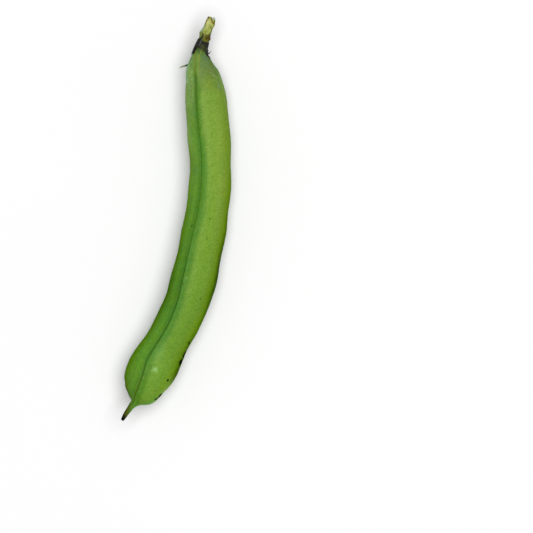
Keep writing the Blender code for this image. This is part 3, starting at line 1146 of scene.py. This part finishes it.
    def material(self, effects: SharedEffects, top_of: Callable[[float, float], float]) -> bpy.types.Material:
        """Builds the finish.

        Args:
            effects: the shared effects.
            top_of: gives the skin's height, in millimetres, at a place in plan.

        Returns:
            The material.
        """
        paint = Painter("pod_skin", effects)
        straight = paint.kept("straight", "Vector")
        across, along, rise = paint.parts(straight)
        share = paint.math("DIVIDE", along, self.length)
        at = SkinPlace(straight, across, along, rise, share, paint.kept("flank"))
        self._valves(paint, at)
        self._mottling(paint, at)
        self._neck(paint, at)
        self._seam(paint, at)
        self._stain(paint, at)
        self._beak(paint, at)
        self._specks(paint, at)
        for mark in self.marks:
            mark.lay(paint, top_of(mark.x, mark.y))
        return self._surface(paint, at)

    def _valves(self, paint: Painter, at: SkinPlace) -> None:
        """The two valves' greens, the greener band between them, and the olive edges, which carry painted
        shade and painted sheen, with painted light on the right slope.

        Args:
            paint: the material's painter.
            at: the place on the skin.
        """
        paint.colour = paint.ramp(at.share, self.left_valve)
        paint.lay(paint.climb(at.across, *self.band_left), paint.ramp(at.share, self.left_band))
        paint.lay(paint.climb(at.across, *self.band_right), paint.ramp(at.share, self.right_band))
        patches = paint.mottle(at.straight, self.band_patches)
        ragged = paint.math("MULTIPLY_ADD", patches, self.band_swing, at.across)
        fades, ends = paint.climb(at.share, *self.band_fades), paint.climb(at.share, *self.band_ends)
        paint.lay(paint.climb(ragged, fades, ends), paint.ramp(at.share, self.right_valve))
        # Painted sheen and painted shade along the left edge.
        paint.lay(paint.climb(at.flank, *self.left_edge_reach), paint.ramp(at.share, self.left_edge))
        body = paint.climb(at.share, *self.body_begins)
        # Painted light on the right valve's slope, in the pod's upper half.
        upper = paint.product(body, paint.climb(at.share, *self.slope_ends))
        paint.lay(paint.product(paint.climb(at.flank, *self.slope_reach), upper), self.right_slope)
        # The right shoulder's olive, partly painted shade.
        shoulder = paint.product(paint.climb(at.flank, *self.shoulder_reach), body)
        paint.lay(shoulder, paint.ramp(at.share, self.right_shoulder))
        # Painted shade and painted sheen along the right edge, over its olive.
        paint.lay(paint.climb(at.flank, *self.right_edge_reach), paint.ramp(at.share, self.right_edge))

    def _mottling(self, paint: Painter, at: SkinPlace) -> None:
        """Broad and fine patches of paler and deeper green, and faint oblique veins.

        Args:
            paint: the material's painter.
            at: the place on the skin.
        """
        paint.lay_tint(at.straight, self.deeper)
        paint.lay_tint(at.straight, self.yellowed)
        middle = paint.climb(paint.apart(at.across, self.cooler_middle), *self.cooler_reach)
        paint.lay_tint(at.straight, self.cooler, middle)
        light = paint.ramp(paint.mottle(at.straight, self.grain), self.grain_light)
        paint.lay(1.0, light, Blend.MULTIPLY)
        paint.lay(paint.product(paint.strands(at.straight, self.veins), self.vein_cover), self.deep)

    def _seam(self, paint: Painter, at: SkinPlace) -> None:
        """The fine strands beside the seam, its two lines of other greens and its dark groove.

        Args:
            paint: the material's painter.
            at: the place on the skin.
        """
        upward = paint.climb(at.rise, *self.seam_faces_up)
        beside = paint.climb(paint.math("ABSOLUTE", at.across), *self.seam_strands_reach)
        strands = paint.strands(at.straight, self.seam_strands)
        paint.lay(paint.product(beside, strands, upward, self.seam_strands_cover), self.deep)
        for line in self.seam_lines:
            body = paint.climb(paint.apart(at.across, line.offset), *self.seam_line_width)
            paint.lay(paint.product(body, paint.levels(at.share, line.cover), upward), line.colour)
        wobble = paint.mottle(at.straight, self.wobble)
        moved = paint.math("ABSOLUTE", paint.math("MULTIPLY_ADD", wobble, self.wobble_width, at.across))
        reach = paint.levels(at.share, self.groove_reach)
        groove = paint.climb(moved, self.groove_core, reach, 1.0, 0.0)
        cover = paint.product(groove, upward, paint.levels(at.share, self.groove_cover))
        paint.lay(cover, paint.ramp(at.share, self.groove))

    def _neck(self, paint: Painter, at: SkinPlace) -> None:
        """The neck's mottles and its yellow rib.

        Args:
            paint: the material's painter.
            at: the place on the skin.
        """
        reach = paint.climb(at.across, *self.neck_reach)
        near = paint.climb(at.along, paint.product(reach, self.neck_fades), reach, 1.0, 0.0)
        middle = paint.climb(paint.math("ABSOLUTE", at.across), *self.neck_middle)
        near = paint.product(near, middle, paint.climb(at.across, *self.neck_left))
        for tint in self.neck_tints:
            paint.lay_tint(at.straight, tint, near)
        rib = paint.climb(paint.apart(at.across, self.rib_offset), *self.rib_width)
        upward = paint.climb(at.rise, *self.rib_faces_up)
        paint.lay(paint.product(rib, upward, paint.climb(at.along, *self.rib_ends)), self.rib_yellow)

    def _stain(self, paint: Painter, at: SkinPlace) -> None:
        """The dark stain under the calyx.

        Args:
            paint: the material's painter.
            at: the place on the skin.
        """
        patches = paint.mottle(at.straight, self.stain_patches)
        ragged = paint.math("MULTIPLY_ADD", patches, self.stain_swing, at.along)
        paint.lay(paint.climb(ragged, *self.stain_ends), self.stain_colour)

    def _beak(self, paint: Painter, at: SkinPlace) -> None:
        """The beak, which dries from its tip and its left side.

        Args:
            paint: the material's painter.
            at: the place on the skin.
        """
        past_tip = paint.math("SUBTRACT", at.along, self.length)
        patches = paint.mottle(at.straight, self.beak_patches)
        reach = paint.math("MULTIPLY_ADD", patches, self.beak_swing, past_tip)
        leftward = paint.math("MULTIPLY_ADD", at.across, self.beak_slant, reach)
        paint.lay(paint.climb(leftward, *self.olive_reach), self.beak_olive)
        paint.lay(paint.climb(reach, *self.black_reach), self.beak_black)

    def _specks(self, paint: Painter, at: SkinPlace) -> None:
        """A few tiny brown specks, scattered unevenly.

        Args:
            paint: the material's painter.
            at: the place on the skin.
        """
        feeds = {"Vector": at.straight, "Scale": self.speck_scale}
        cells = paint.node("ShaderNodeTexVoronoi", feeds, feature="F1")
        size = paint.climb(paint.parts(cells.outputs["Color"])[0], *self.speck_size)
        inside = paint.math("LESS_THAN", cells.outputs["Distance"], size)
        paint.lay(paint.product(inside, self.speck_cover), self.speck_colour)

    def _surface(self, paint: Painter, at: SkinPlace) -> bpy.types.Material:
        """The waxy gloss and the fine grain.

        Args:
            paint: the material's painter.
            at: the place on the skin.

        Returns:
            The finished material.
        """
        roughness = paint.climb(paint.mottle(at.straight, self.waxing), *self.roughness)
        gloss = paint.climb(paint.math("ABSOLUTE", at.flank), *self.gloss)
        pebbles = paint.mottle(at.straight, self.pebbles)
        veins = paint.strands(at.straight, self.raised_veins)
        height = paint.math("MULTIPLY_ADD", veins, self.vein_height, pebbles)
        return paint.finished(roughness, gloss, height, self.grain_depth, self.grain_strength)


@dataclass(frozen=True)
class WitheredBlack:
    """The dead flower's cup and threads: black-brown and streaked, with a painted, dull greyish sheen."""

    dark: Colour = shade(26, 28, 24)
    brown: Colour = shade(44, 38, 26)
    streaks: Strands = Strands(0.35, 3.2, 2.4)
    # Painted sheen: greyish patches over the black.
    grey: Tint = Tint(shade(70, 78, 72), Mottle(1.3, 2.4, 3.0), 0.22)
    roughness: float = 0.55
    gloss: float = 0.12
    grain_depth: float = 0.00012
    grain_strength: float = 0.8
    marks: tuple[Mark, ...] = (
        # Painted sheen: a greyish streak down the cup's left side.
        Mark(11.1, 80.7, 2.6, 0.5, shade(84, 94, 90), 0.65, 70.0, depth=6.0, z=19.0),
        Mark(12.1, 78.2, 2.6, 1.7, shade(80, 86, 46), 0.92, 80.0, 1.0, 1.0, 6.0, 19.0),
        Mark(9.7, 77.7, 1.0, 0.5, shade(76, 92, 56), 0.70, 70.0, depth=6.0, z=19.0),
        Mark(2.7, 69.9, 1.8, 1.5, shade(140, 156, 112), 0.95, 15.0, depth=6.0, z=13.0, softness=0.35),
        Mark(1.1, 69.2, 1.2, 1.3, shade(214, 222, 210), 0.92, 15.0, depth=6.0, z=13.0),
        Mark(13.7, 77.6, 1.5, 0.45, shade(74, 88, 60), 0.65, -69.0, depth=6.0, z=16.5),
        Mark(15.9, 76.7, 1.3, 0.9, shade(150, 168, 156), 0.9, 45.0, depth=6.0, z=15.6),
    )

    def material(self, effects: SharedEffects) -> bpy.types.Material:
        """Builds the finish.

        Args:
            effects: the shared effects.

        Returns:
            The material.
        """
        paint = Painter("withered_calyx", effects)
        place = paint.vector("MULTIPLY", paint.place(), (1.0 / MM,) * 3)
        streaks = paint.strands(place, self.streaks)
        paint.colour = paint.mix(streaks, self.dark, self.brown)
        # Lays the painted sheen.
        paint.lay_tint(place, self.grey)
        for mark in self.marks:
            mark.lay(paint, 0.0)
        return paint.finished(self.roughness, self.gloss, streaks, self.grain_depth, self.grain_strength)


@dataclass(frozen=True)
class TornStalk:
    """The stalk's green bark, its pale torn fibres and the brown where it has dried."""

    bark: Colour = shade(128, 146, 88, 0.74)
    bark_deep: Colour = shade(98, 114, 56, 0.74)
    pith: Colour = shade(150, 160, 74, 0.84)
    pith_pale: Colour = shade(190, 196, 118, 0.84)
    pith_olive: Colour = shade(134, 138, 48, 0.84)
    olive_cover: float = 0.4
    rim: Colour = shade(84, 76, 24)
    rim_reach: Climb = (0.0, 0.42, 1.0, 0.0)
    rim_cover: float = 1.3
    fibres: Strands = Strands(0.30, 4.0, 2.4)
    patches: Mottle = Mottle(1.8, 1.8, 3.0)
    roughness: float = 0.62
    gloss: float = 0.10
    grain_depth: float = 0.00012
    grain_strength: float = 0.8
    top: float = 17.8
    marks: tuple[Mark, ...] = (
        # Pale streaks of the torn face, partly painted highlight.
        Mark(14.8, 90.0, 2.4, 0.85, shade(208, 206, 142, 0.84), 0.80, 66.0),
        Mark(14.1, 87.3, 1.9, 0.65, shade(196, 202, 122, 0.84), 0.75, 66.0),
        Mark(12.5, 87.2, 2.4, 0.55, shade(160, 190, 146), 0.70, 62.0, raggedness=0.7),
        Mark(11.6, 86.0, 1.1, 0.50, shade(168, 198, 156), 0.75, 55.0),
        Mark(11.05, 84.6, 1.3, 0.8, shade(122, 136, 46), 0.85, 60.0),
        Mark(13.8, 90.4, 2.0, 0.40, shade(128, 98, 44), 0.75, 66.0),
        Mark(16.0, 87.2, 2.0, 0.45, shade(112, 112, 42), 0.70, 105.0),
        Mark(16.4, 90.7, 2.0, 0.55, shade(124, 96, 32), 0.88, 112.0),
        Mark(17.2, 89.5, 1.1, 0.40, shade(78, 62, 20), 0.90, 100.0),
        Mark(14.8, 92.1, 1.0, 0.50, shade(100, 88, 28), 0.90, 35.0),
        Mark(17.4, 92.0, 1.2, 0.90, shade(180, 196, 172), 0.94, 80.0, softness=0.4),
        Mark(13.4, 89.2, 0.4, 0.30, shade(88, 82, 46), 0.85, 60.0),
        Mark(13.6, 85.8, 2.0, 0.35, shade(116, 118, 38), 0.65, 76.0),
        Mark(13.7, 82.2, 2.7, 2.80, shade(104, 104, 34), 0.94, 0.0, softness=0.35),
        Mark(14.8, 83.1, 1.8, 1.30, shade(86, 70, 12), 0.92, 64.0, softness=0.5, raggedness=0.8),
        Mark(14.2, 83.2, 2.0, 0.50, shade(80, 58, 10), 0.80, 30.0, raggedness=0.8),
        Mark(15.5, 84.0, 1.0, 0.60, shade(52, 34, 4), 0.90, 70.0, raggedness=0.8),
        Mark(13.7, 82.3, 0.8, 0.45, shade(58, 52, 10), 0.85, 40.0, raggedness=0.8),
        Mark(15.4, 82.3, 0.7, 0.45, shade(56, 44, 8), 0.85, 30.0),
        Mark(12.9, 81.9, 0.8, 0.45, shade(112, 116, 34), 0.80, 0.0),
        Mark(13.0, 82.7, 1.1, 0.65, shade(112, 108, 46), 0.85, 60.0),
        Mark(12.9, 84.0, 1.4, 0.70, shade(136, 140, 70), 0.85, 64.0),
        Mark(11.9, 83.4, 2.4, 0.60, shade(38, 42, 24), 0.95, 57.0, softness=0.5),
        Mark(11.1, 82.2, 1.3, 0.95, shade(34, 38, 28), 0.95, 57.0, softness=0.5),
        # Painted sheen: a greyish streak where the stalk runs into the cup.
        Mark(11.5, 81.8, 1.6, 0.60, shade(66, 76, 66), 0.92, 72.0),
        Mark(10.9, 84.4, 0.8, 0.50, shade(112, 134, 50), 0.80, 66.0),
    )

    def material(self, effects: SharedEffects) -> bpy.types.Material:
        """Builds the finish.

        Args:
            effects: the shared effects.

        Returns:
            The material.
        """
        paint = Painter("torn_stalk", effects)
        straight = paint.kept("straight", "Vector")
        fibres, patches = paint.strands(straight, self.fibres), paint.mottle(straight, self.patches)
        pith = paint.mix(fibres, self.pith, self.pith_pale)
        pith = paint.mix(paint.product(patches, self.olive_cover), pith, self.pith_olive)
        bark = paint.mix(fibres, self.bark, self.bark_deep)
        paint.colour = paint.mix(paint.kept("torn"), bark, pith)
        edge = paint.product(paint.climb(paint.kept("rim"), *self.rim_reach), patches)
        paint.lay(paint.math("MULTIPLY", edge, self.rim_cover, clamp=True), self.rim)
        for mark in self.marks:
            mark.lay(paint, self.top)
        return paint.finished(self.roughness, self.gloss, fibres, self.grain_depth, self.grain_strength)


@dataclass
class PodSkin:
    """The pod itself, one closed skin from neck to beak."""

    form: PodForm
    columns: int = 240
    rings: int = 400
    end_crowding: float = 0.70
    seam_crowding: float = 0.60
    cap: float = 0.6
    near: float = 0.5           # how close a point counts as at a place
    edge_reach: float = 0.25    # how much farther, where the place is off the skin

    def build(self) -> bpy.types.Object:
        """Models the skin.

        Returns:
            The pod, with its straightened places kept for its finish.
        """
        piece, share, angle = ball("pod_skin", self.columns, self.rings)
        length = self.form.track.length
        along = length * (share - self.end_crowding * np.sin(FULL_TURN * share) / FULL_TURN)
        turn = angle - self.seam_crowding * np.sin(angle)
        points, straight = self.form.skin(along, turn, fullness=rounding(along, length, self.cap))
        points[:, 2] = np.maximum(points[:, 2], 0.0)
        move_corners(piece, points)
        store(piece, "straight", straight)
        store(piece, "flank", self.form.flank(along, points))
        return piece

    def top_of(self, piece: bpy.types.Object) -> Callable[[float, float], float]:
        """Finds out how high the skin stands.

        Args:
            piece: the modelled skin.

        Returns:
            A function that gives its height, in millimetres, at a place in plan.
        """
        points = corners(piece) / MM

        def height(x: float, y: float) -> float:
            """The highest skin near a place, or the skin at its nearest edge.

            Args:
                x: the place's own x, in millimetres.
                y: its y.

            Returns:
                The height, in millimetres.
            """
            away = np.hypot(points[:, 0] - x, points[:, 1] - y)
            near = away < max(self.near, float(away.min()) + self.edge_reach)
            return float(points[near, 2].max())

        return height

    def make(self, effects: SharedEffects) -> list[bpy.types.Object]:
        """Builds the pod and dresses it.

        Args:
            effects: the shared effects.

        Returns:
            The pod, as a list of one.
        """
        piece = self.build()
        green = PodGreen(self.form.track.length).material(effects, self.top_of(piece))
        return [dress(piece, green, "pod_skin", "pod")]


@dataclass(frozen=True)
class Lobe:
    """One lobe of the calyx: its direction from the top towards +X, reach, half width and curl."""

    direction: float
    reach: float
    half_width: float
    curl: float


@dataclass(frozen=True)
class Thread:
    """A dry thread: its root in a lobe (place along, direction, height over the skin), then its way."""

    name: str
    rooted: tuple[Spot, ...]
    free: tuple[Spot, ...]
    root_radius: float = 0.30
    tip_radius: float = 0.14
    facets: int = 4
    order: int = 3
    steps: int = 10
    weld: float = 0.000005
    sharpest: float = math.radians(50.0)

    def build(self, form: PodForm) -> bpy.types.Object:
        """Models the thread as a tapering tube.

        Args:
            form: the pod's skin, in which it is rooted.

        Returns:
            The thread.
        """
        along, direction, outward = (np.array(values) for values in zip(*self.rooted))
        root = form.skin(along, form.turn_of(along, direction), outward)[0]
        route = np.vstack([root, np.array(self.free)])
        piece = primitive(self.name, bpy.ops.curve.primitive_nurbs_path_add)
        curve = piece.data
        curve.bevel_depth = self.root_radius * MM
        curve.bevel_resolution = self.facets
        curve.use_fill_caps = True
        line = curve.splines[0]
        line.points.add(len(route) - len(line.points))
        shares = np.linspace(1.0, self.tip_radius / self.root_radius, len(route))
        for spot, place, share in zip(line.points, route, shares):
            spot.co = (*(place * MM), 1.0)
            spot.radius = share
        line.order_u = self.order
        line.resolution_u = self.steps
        line.use_endpoint_u = True
        bpy.ops.object.convert(target="MESH")
        bpy.ops.object.mode_set(mode="EDIT")
        bpy.ops.mesh.select_all(action="SELECT")
        bpy.ops.mesh.remove_doubles(threshold=self.weld)
        bpy.ops.object.mode_set(mode="OBJECT")
        bpy.ops.object.shade_smooth_by_angle(angle=self.sharpest)
        return piece


@dataclass
class Calyx:
    """The withered cup round the neck, with its ragged lobes and two dry threads."""

    form: PodForm
    columns: int = 216
    rings: int = 150
    back: float = -1.0
    back_dips: tuple[Notch, ...] = (Notch(24.0, 0.45, 52.0), Notch(-78.0, -0.65, 26.0))
    back_taper: float = 0.55
    back_taper_reach: tuple[float, float] = (0.5, 1.8)
    floor: float = -0.20
    rim: float = 1.8
    root_share: float = 0.5
    base_share: float = 0.18
    skin_gap: float = 0.16
    base_wall: float = 0.76
    edge_wall: float = 0.22
    wall_thins: float = 0.8
    seat_wall: float = 0.05
    seat_length: float = 2.4
    swell: float = 0.12
    wrinkles: tuple[Ripple, ...] = (Ripple(0.0792, 0.8, 9.0), Ripple(0.0396, -0.9, 23.0))
    wrinkle_fades: float = 0.5
    edge_wave: Ripple = Ripple(0.06, 1.1, 6.0)
    fold: Lump = Lump(98.0, 3.2, 0.6, 12.0, 0.6)
    fray: float = 0.30
    frays: tuple[Ripple, ...] = (
        Ripple(1.0, 0.0, 17.0, 0.6),
        Ripple(0.7, 0.0, 29.0, 2.1),
        Ripple(0.5, 0.0, 43.0),
    )
    lobe_bluntness: float = 0.7
    lobes: tuple[Lobe, ...] = (
        Lobe(8.0, 3.2, 58.0, 0.0),
        Lobe(-76.0, 6.0, 38.0, 0.05),
        Lobe(76.0, 8.2, 32.0, 0.0),
        Lobe(132.0, 4.8, 26.0, 0.20),
        Lobe(176.0, 5.2, 30.0, 0.30),
        Lobe(-142.0, 6.4, 26.0, 0.15),
    )
    threads: tuple[Thread, ...] = (
        Thread(
            "left_thread",
            ((4.6, -146.0, 0.65), (6.8, -150.0, 0.75), (8.8, -146.0, 0.85)),
            ((6.6, 70.9, 10.2), (5.2, 70.6, 11.4), (3.9, 70.2, 12.3), (2.6, 69.9, 12.9), (1.1, 69.1, 13.2)),
            0.64,
            0.28,
        ),
        Thread(
            "right_thread",
            ((4.2, 102.0, 0.45), (5.0, 98.0, 0.65)),
            ((15.0, 75.85, 15.3), (15.55, 76.4, 15.6), (16.1, 76.95, 15.8)),
        ),
    )

    def edge_at(self, direction: np.ndarray) -> tuple[np.ndarray, np.ndarray]:
        """How far the frayed rim reaches along the neck, and how far it curls outward.

        Args:
            direction: directions from the top towards +X, in degrees.

        Returns:
            The reaches and the curls, in millimetres.
        """
        reach = np.full(len(direction), self.rim)
        curl = np.zeros(len(direction))
        for lobe in self.lobes:
            height = 1.0 - np.abs(degrees_apart(direction, lobe.direction)) / lobe.half_width
            height = np.maximum(height, 0.0)
            further = self.rim + height**self.lobe_bluntness * (lobe.reach - self.rim)
            curl = np.where(further > reach, height * lobe.curl, curl)
            reach = np.maximum(reach, further)
        frayed = rippled(self.frays, 0.0, np.radians(direction))
        return reach + self.fray * frayed / sum(ripple.height for ripple in self.frays), curl

    def wall(
        self, along: np.ndarray, direction: np.ndarray, reach: np.ndarray, curl: np.ndarray, outer: np.ndarray
    ) -> np.ndarray:
        """Points of the wall's outer or inner face.

        Args:
            along: places along the neck.
            direction: directions from the top towards +X, in degrees.
            reach: how far the rim reaches there.
            curl: how far it curls outward there.
            outer: which points belong to the outer face.

        Returns:
            The points, in millimetres.
        """
        start = self.rim * self.root_share
        way = np.clip((along - start) / (reach - start), 0.0, 1.0)
        around = np.radians(direction)
        thickness = self.base_wall + (self.edge_wall - self.base_wall) * way**self.wall_thins
        thickness += self.seat_wall * np.clip(1.0 - (along - self.back) / self.seat_length, 0.0, 1.0)
        wrinkled = self.swell + rippled(self.wrinkles, along, around)
        thickness += wrinkled * (1.0 - self.wrinkle_fades * way)
        thickness += self.fold.at(along, direction)
        thickness *= 1.0 - self.back_taper * smooth_step(*self.back_taper_reach, -along)
        lifted = (curl + self.edge_wave.at(along, around)) * way**2
        outward = self.skin_gap + lifted + np.where(outer, thickness, 0.0)
        turn = self.form.turn_of(np.maximum(along, 0.0), direction)
        return self.form.skin(along, turn, outward)[0]

    def build_cup(self) -> bpy.types.Object:
        """Models the cup with its lobes, as a closed shell that runs out and back in.

        Returns:
            The cup.
        """
        piece, share, angle = ball("calyx_cup", self.columns, self.rings)
        direction = np.degrees(angle)
        reach, curl = self.edge_at(direction)
        outer = share <= 0.5
        way = np.where(outer, 2.0 * share, 2.0 * (1.0 - share))
        back = self.back + sum(dip.at(direction) for dip in self.back_dips)
        floor = np.where(outer, back, self.floor)
        climb = np.maximum(0.0, way - self.base_share) / (1.0 - self.base_share)
        points = self.wall(floor + climb * (reach - floor), direction, reach, curl, outer)
        nothing = np.zeros(len(floor))
        middle = self.form.skin(floor, nothing, fullness=nothing)[0]
        inward = column(np.minimum(1.0, way / self.base_share))
        move_corners(piece, middle + inward * (points - middle))
        return piece

    def make(self, effects: SharedEffects) -> list[bpy.types.Object]:
        """Builds the cup and its threads and dresses them.

        Args:
            effects: the shared effects.

        Returns:
            The cup and the threads.
        """
        pieces = [self.build_cup()] + [thread.build(self.form) for thread in self.threads]
        withered = WitheredBlack().material(effects)
        return [dress(piece, withered, "withered_calyx", "calyx") for piece in pieces]


@dataclass
class Stalk:
    """The stub of the stalk, torn off on a slant that faces up."""

    columns: int = 144
    rings: int = 220
    cap: float = 0.12
    foot: float = -1.2
    bark_share: float = 0.6
    tear_start: float = 1.3
    tear_length: float = 14.0
    tear_hollow: float = 0.35
    nick: Notch = Notch(166.0, 0.6, 9.0)
    ridges: tuple[Ripple, ...] = (
        Ripple(0.05, 0.5, 11.0, math.pi / 2),
        Ripple(0.025, -0.8, 23.0, math.pi / 2),
    )
    lumps: tuple[Lump, ...] = (
        Lump(76.0, 1.1, 0.72, 44.0, 1.3),
        Lump(-84.0, 2.5, 0.45, 26.0, 0.7),
        Lump(98.0, 7.9, 0.55, 34.0, 1.3),
    )
    fibre_bend: Ripple = Ripple(0.25, 0.9, 0.0)
    fibre_pitch: float = 0.42
    fine_fibre_pitch: float = 0.2562
    fibre_height: float = 0.07
    fine_fibre_height: float = 0.042
    fibres_begin: tuple[float, float] = (0.02, 0.15)
    lip_height: float = 0.12
    lip_place: float = 0.04
    lip_width: float = 0.05
    lip_begins: tuple[float, float] = (0.0, 0.03)
    rim_length: float = 0.5

    def __post_init__(self) -> None:
        """Lays the stalk's middle line."""
        self.track = Track(STALK_ROWS)

    def bark(self, along: np.ndarray, direction: np.ndarray) -> np.ndarray:
        """Points of the bark.

        Args:
            along: distances along the stalk, in millimetres.
            direction: directions from the top towards -X, in degrees.

        Returns:
            The points, in millimetres.
        """
        row = self.track.at(along)
        angle = np.radians(direction)
        radius = row[:, 3] + sum(lump.at(along, direction) for lump in self.lumps)
        radius += rippled(self.ridges, along, angle)
        depth = np.clip((along - self.foot) / self.cap, 0.0, 1.0)
        radius *= np.sqrt(1.0 - (1.0 - depth) ** 2)
        spoke = column(np.cos(angle)) * UP - column(np.sin(angle)) * self.track.sideways(along)
        return row[:, :3] + column(radius) * spoke

    def tear_end(self, direction: np.ndarray) -> np.ndarray:
        """How far along the stalk the bark reaches in directions given in degrees."""
        slant = self.tear_start + self.tear_length * (1.0 - np.cos(np.radians(direction))) / 2.0
        return np.minimum(slant, self.track.length) - self.nick.at(direction)

    def torn_face(self, depth: np.ndarray, direction: np.ndarray) -> np.ndarray:
        """Points of the torn face.

        Args:
            depth: how far each is from the face's edge, at 0, towards its middle, at 1.
            direction: directions from the top towards -X, in degrees.

        Returns:
            The points, in millimetres.
        """
        end = self.tear_end(direction)
        middle = (self.tear_start + self.track.length) / 2.0
        along = end + depth * (middle - end)
        row = self.track.at(along)
        across = self.bark(end, direction) - self.track.at(end)[:, :3]
        reach = np.sum(across * self.track.sideways(end), axis=1) * (1.0 - depth)
        slope = row[:, 3] * (1.0 - 2.0 * (along - self.tear_start) / self.tear_length)
        hollow = self.tear_hollow * (1.0 - (1.0 - depth) ** 2)
        bend = self.fibre_bend.at(along, 0.0)
        fibres = self.fibre_height * np.sin(FULL_TURN * (reach + bend) / self.fibre_pitch)
        fibres += self.fine_fibre_height * np.sin(FULL_TURN * (reach - bend) / self.fine_fibre_pitch + 1.0)
        rough = fibres * smooth_step(*self.fibres_begin, depth)
        lip = self.lip_height * bump(depth - self.lip_place, self.lip_width)
        height = row[:, 2] + slope - hollow + rough + lip * smooth_step(*self.lip_begins, depth)
        return np.column_stack([row[:, 0], row[:, 1], height]) + column(reach) * self.track.sideways(along)

    def build(self) -> bpy.types.Object:
        """Models the stub.

        Returns:
            The stalk, with its straightened places, its torn face and its rim kept for its finish.
        """
        piece, share, angle = ball("stalk_stub", self.columns, self.rings)
        direction = -np.degrees(angle)
        end = self.tear_end(direction)
        way = np.minimum(share / self.bark_share, 1.0)
        depth = np.maximum(0.0, share - self.bark_share) / (1.0 - self.bark_share)
        along = self.foot + (end - self.foot) * way
        torn = share > self.bark_share
        points = np.where(column(torn), self.torn_face(depth, direction), self.bark(along, direction))
        move_corners(piece, points)
        row = self.track.at(np.clip(along, 0.0, self.track.length))
        lateral = np.sum((points - row[:, :3]) * self.track.sideways(along), axis=1)
        store(piece, "straight", np.column_stack([lateral, points[:, 1], points[:, 2]]))
        store(piece, "torn", torn.astype(float))
        store(piece, "rim", np.where(torn, depth / self.rim_length, end - along))
        return piece

    def make(self, effects: SharedEffects) -> list[bpy.types.Object]:
        """Builds the stalk and dresses it, as a list of one."""
        return [dress(self.build(), TornStalk().material(effects), "stalk", "stalk")]


@dataclass
class Studio:
    """A pale floor, soft light from above and the camera that looks straight down."""

    frame_width: float = 245.2
    view_centre: tuple[float, float] = (41.45, -22.08)
    sharp_height: float = 12.0
    lens: float = 450.0
    sensor: float = 36.0
    floor_width: float = 30.0
    floor_drop: float = 0.0001
    floor_colour: Colour = (0.61, 0.61, 0.61, 1.0)
    floor_paler: Colour = (0.622, 0.622, 0.622, 1.0)
    floor_cloud: float = 6.0
    floor_roughness: float = 0.9
    floor_gloss: float = 0.1
    sky_colour: Colour = (1.0, 1.0, 1.0, 1.0)
    sky_strength: float = 0.40
    lamp_power: float = 230.0
    lamp_width: float = 3.4
    lamp_place: tuple[float, float, float] = (0.35, 0.12, 4.0)

    def lay_floor(self, effects: SharedEffects) -> None:
        """Lays the floor just under the pod.

        Args:
            effects: the shared effects.
        """
        floor = primitive("floor", bpy.ops.mesh.primitive_plane_add, size=self.floor_width)
        floor.location.z = -self.floor_drop
        paint = Painter("pale_floor", effects)
        cloud = paint.noise(paint.place(), self.floor_cloud)
        paint.colour = paint.mix(cloud, self.floor_colour, self.floor_paler)
        floor.data.materials.append(paint.finished(self.floor_roughness, self.floor_gloss))

    def light(self) -> None:
        """Hangs one wide soft lamp and fills the rest with a pale sky."""
        lamp = bpy.data.lights.new("softbox", "AREA")
        lamp.shape = "DISK"
        lamp.size = self.lamp_width
        lamp.energy = self.lamp_power
        hung = bpy.data.objects.new("softbox", lamp)
        hung.location = self.lamp_place
        hung.rotation_euler = (-Vector(self.lamp_place)).to_track_quat("-Z", "Y").to_euler()
        bpy.context.scene.collection.objects.link(hung)
        world = bpy.data.worlds.new("pale_sky")
        world.use_nodes = True
        sky = world.node_tree.nodes["Background"]
        sky.inputs["Color"].default_value = self.sky_colour
        sky.inputs["Strength"].default_value = self.sky_strength
        bpy.context.scene.world = world
        bpy.context.scene.view_settings.view_transform = "Standard"

    def aim(self) -> None:
        """Sets the camera over the middle of the view, looking straight down."""
        lens = bpy.data.cameras.new("view_from_above")
        lens.lens = self.lens
        lens.sensor_width = self.sensor
        lens.dof.use_dof = False
        camera = bpy.data.objects.new("view_from_above", lens)
        distance = self.frame_width * self.lens / self.sensor
        camera.location = Vector((*self.view_centre, distance + self.sharp_height)) * MM
        bpy.context.scene.collection.objects.link(camera)
        bpy.context.scene.camera = camera


def main() -> None:
    """Builds the pod, its calyx and its stalk, and sets the studio round them."""
    effects = SharedEffects()
    form = PodForm()
    log.info("frame nodes: %s", ", ".join(sorted(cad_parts)))
    for assembly in (PodSkin(form), Calyx(form), Stalk()):
        for piece in assembly.make(effects):
            log.info("%s: piece %s, %d faces", type(assembly).__name__, piece.name, len(piece.data.polygons))

    studio = Studio()
    studio.lay_floor(effects)
    studio.light()
    studio.aim()


if __name__ == "__main__":
    main()
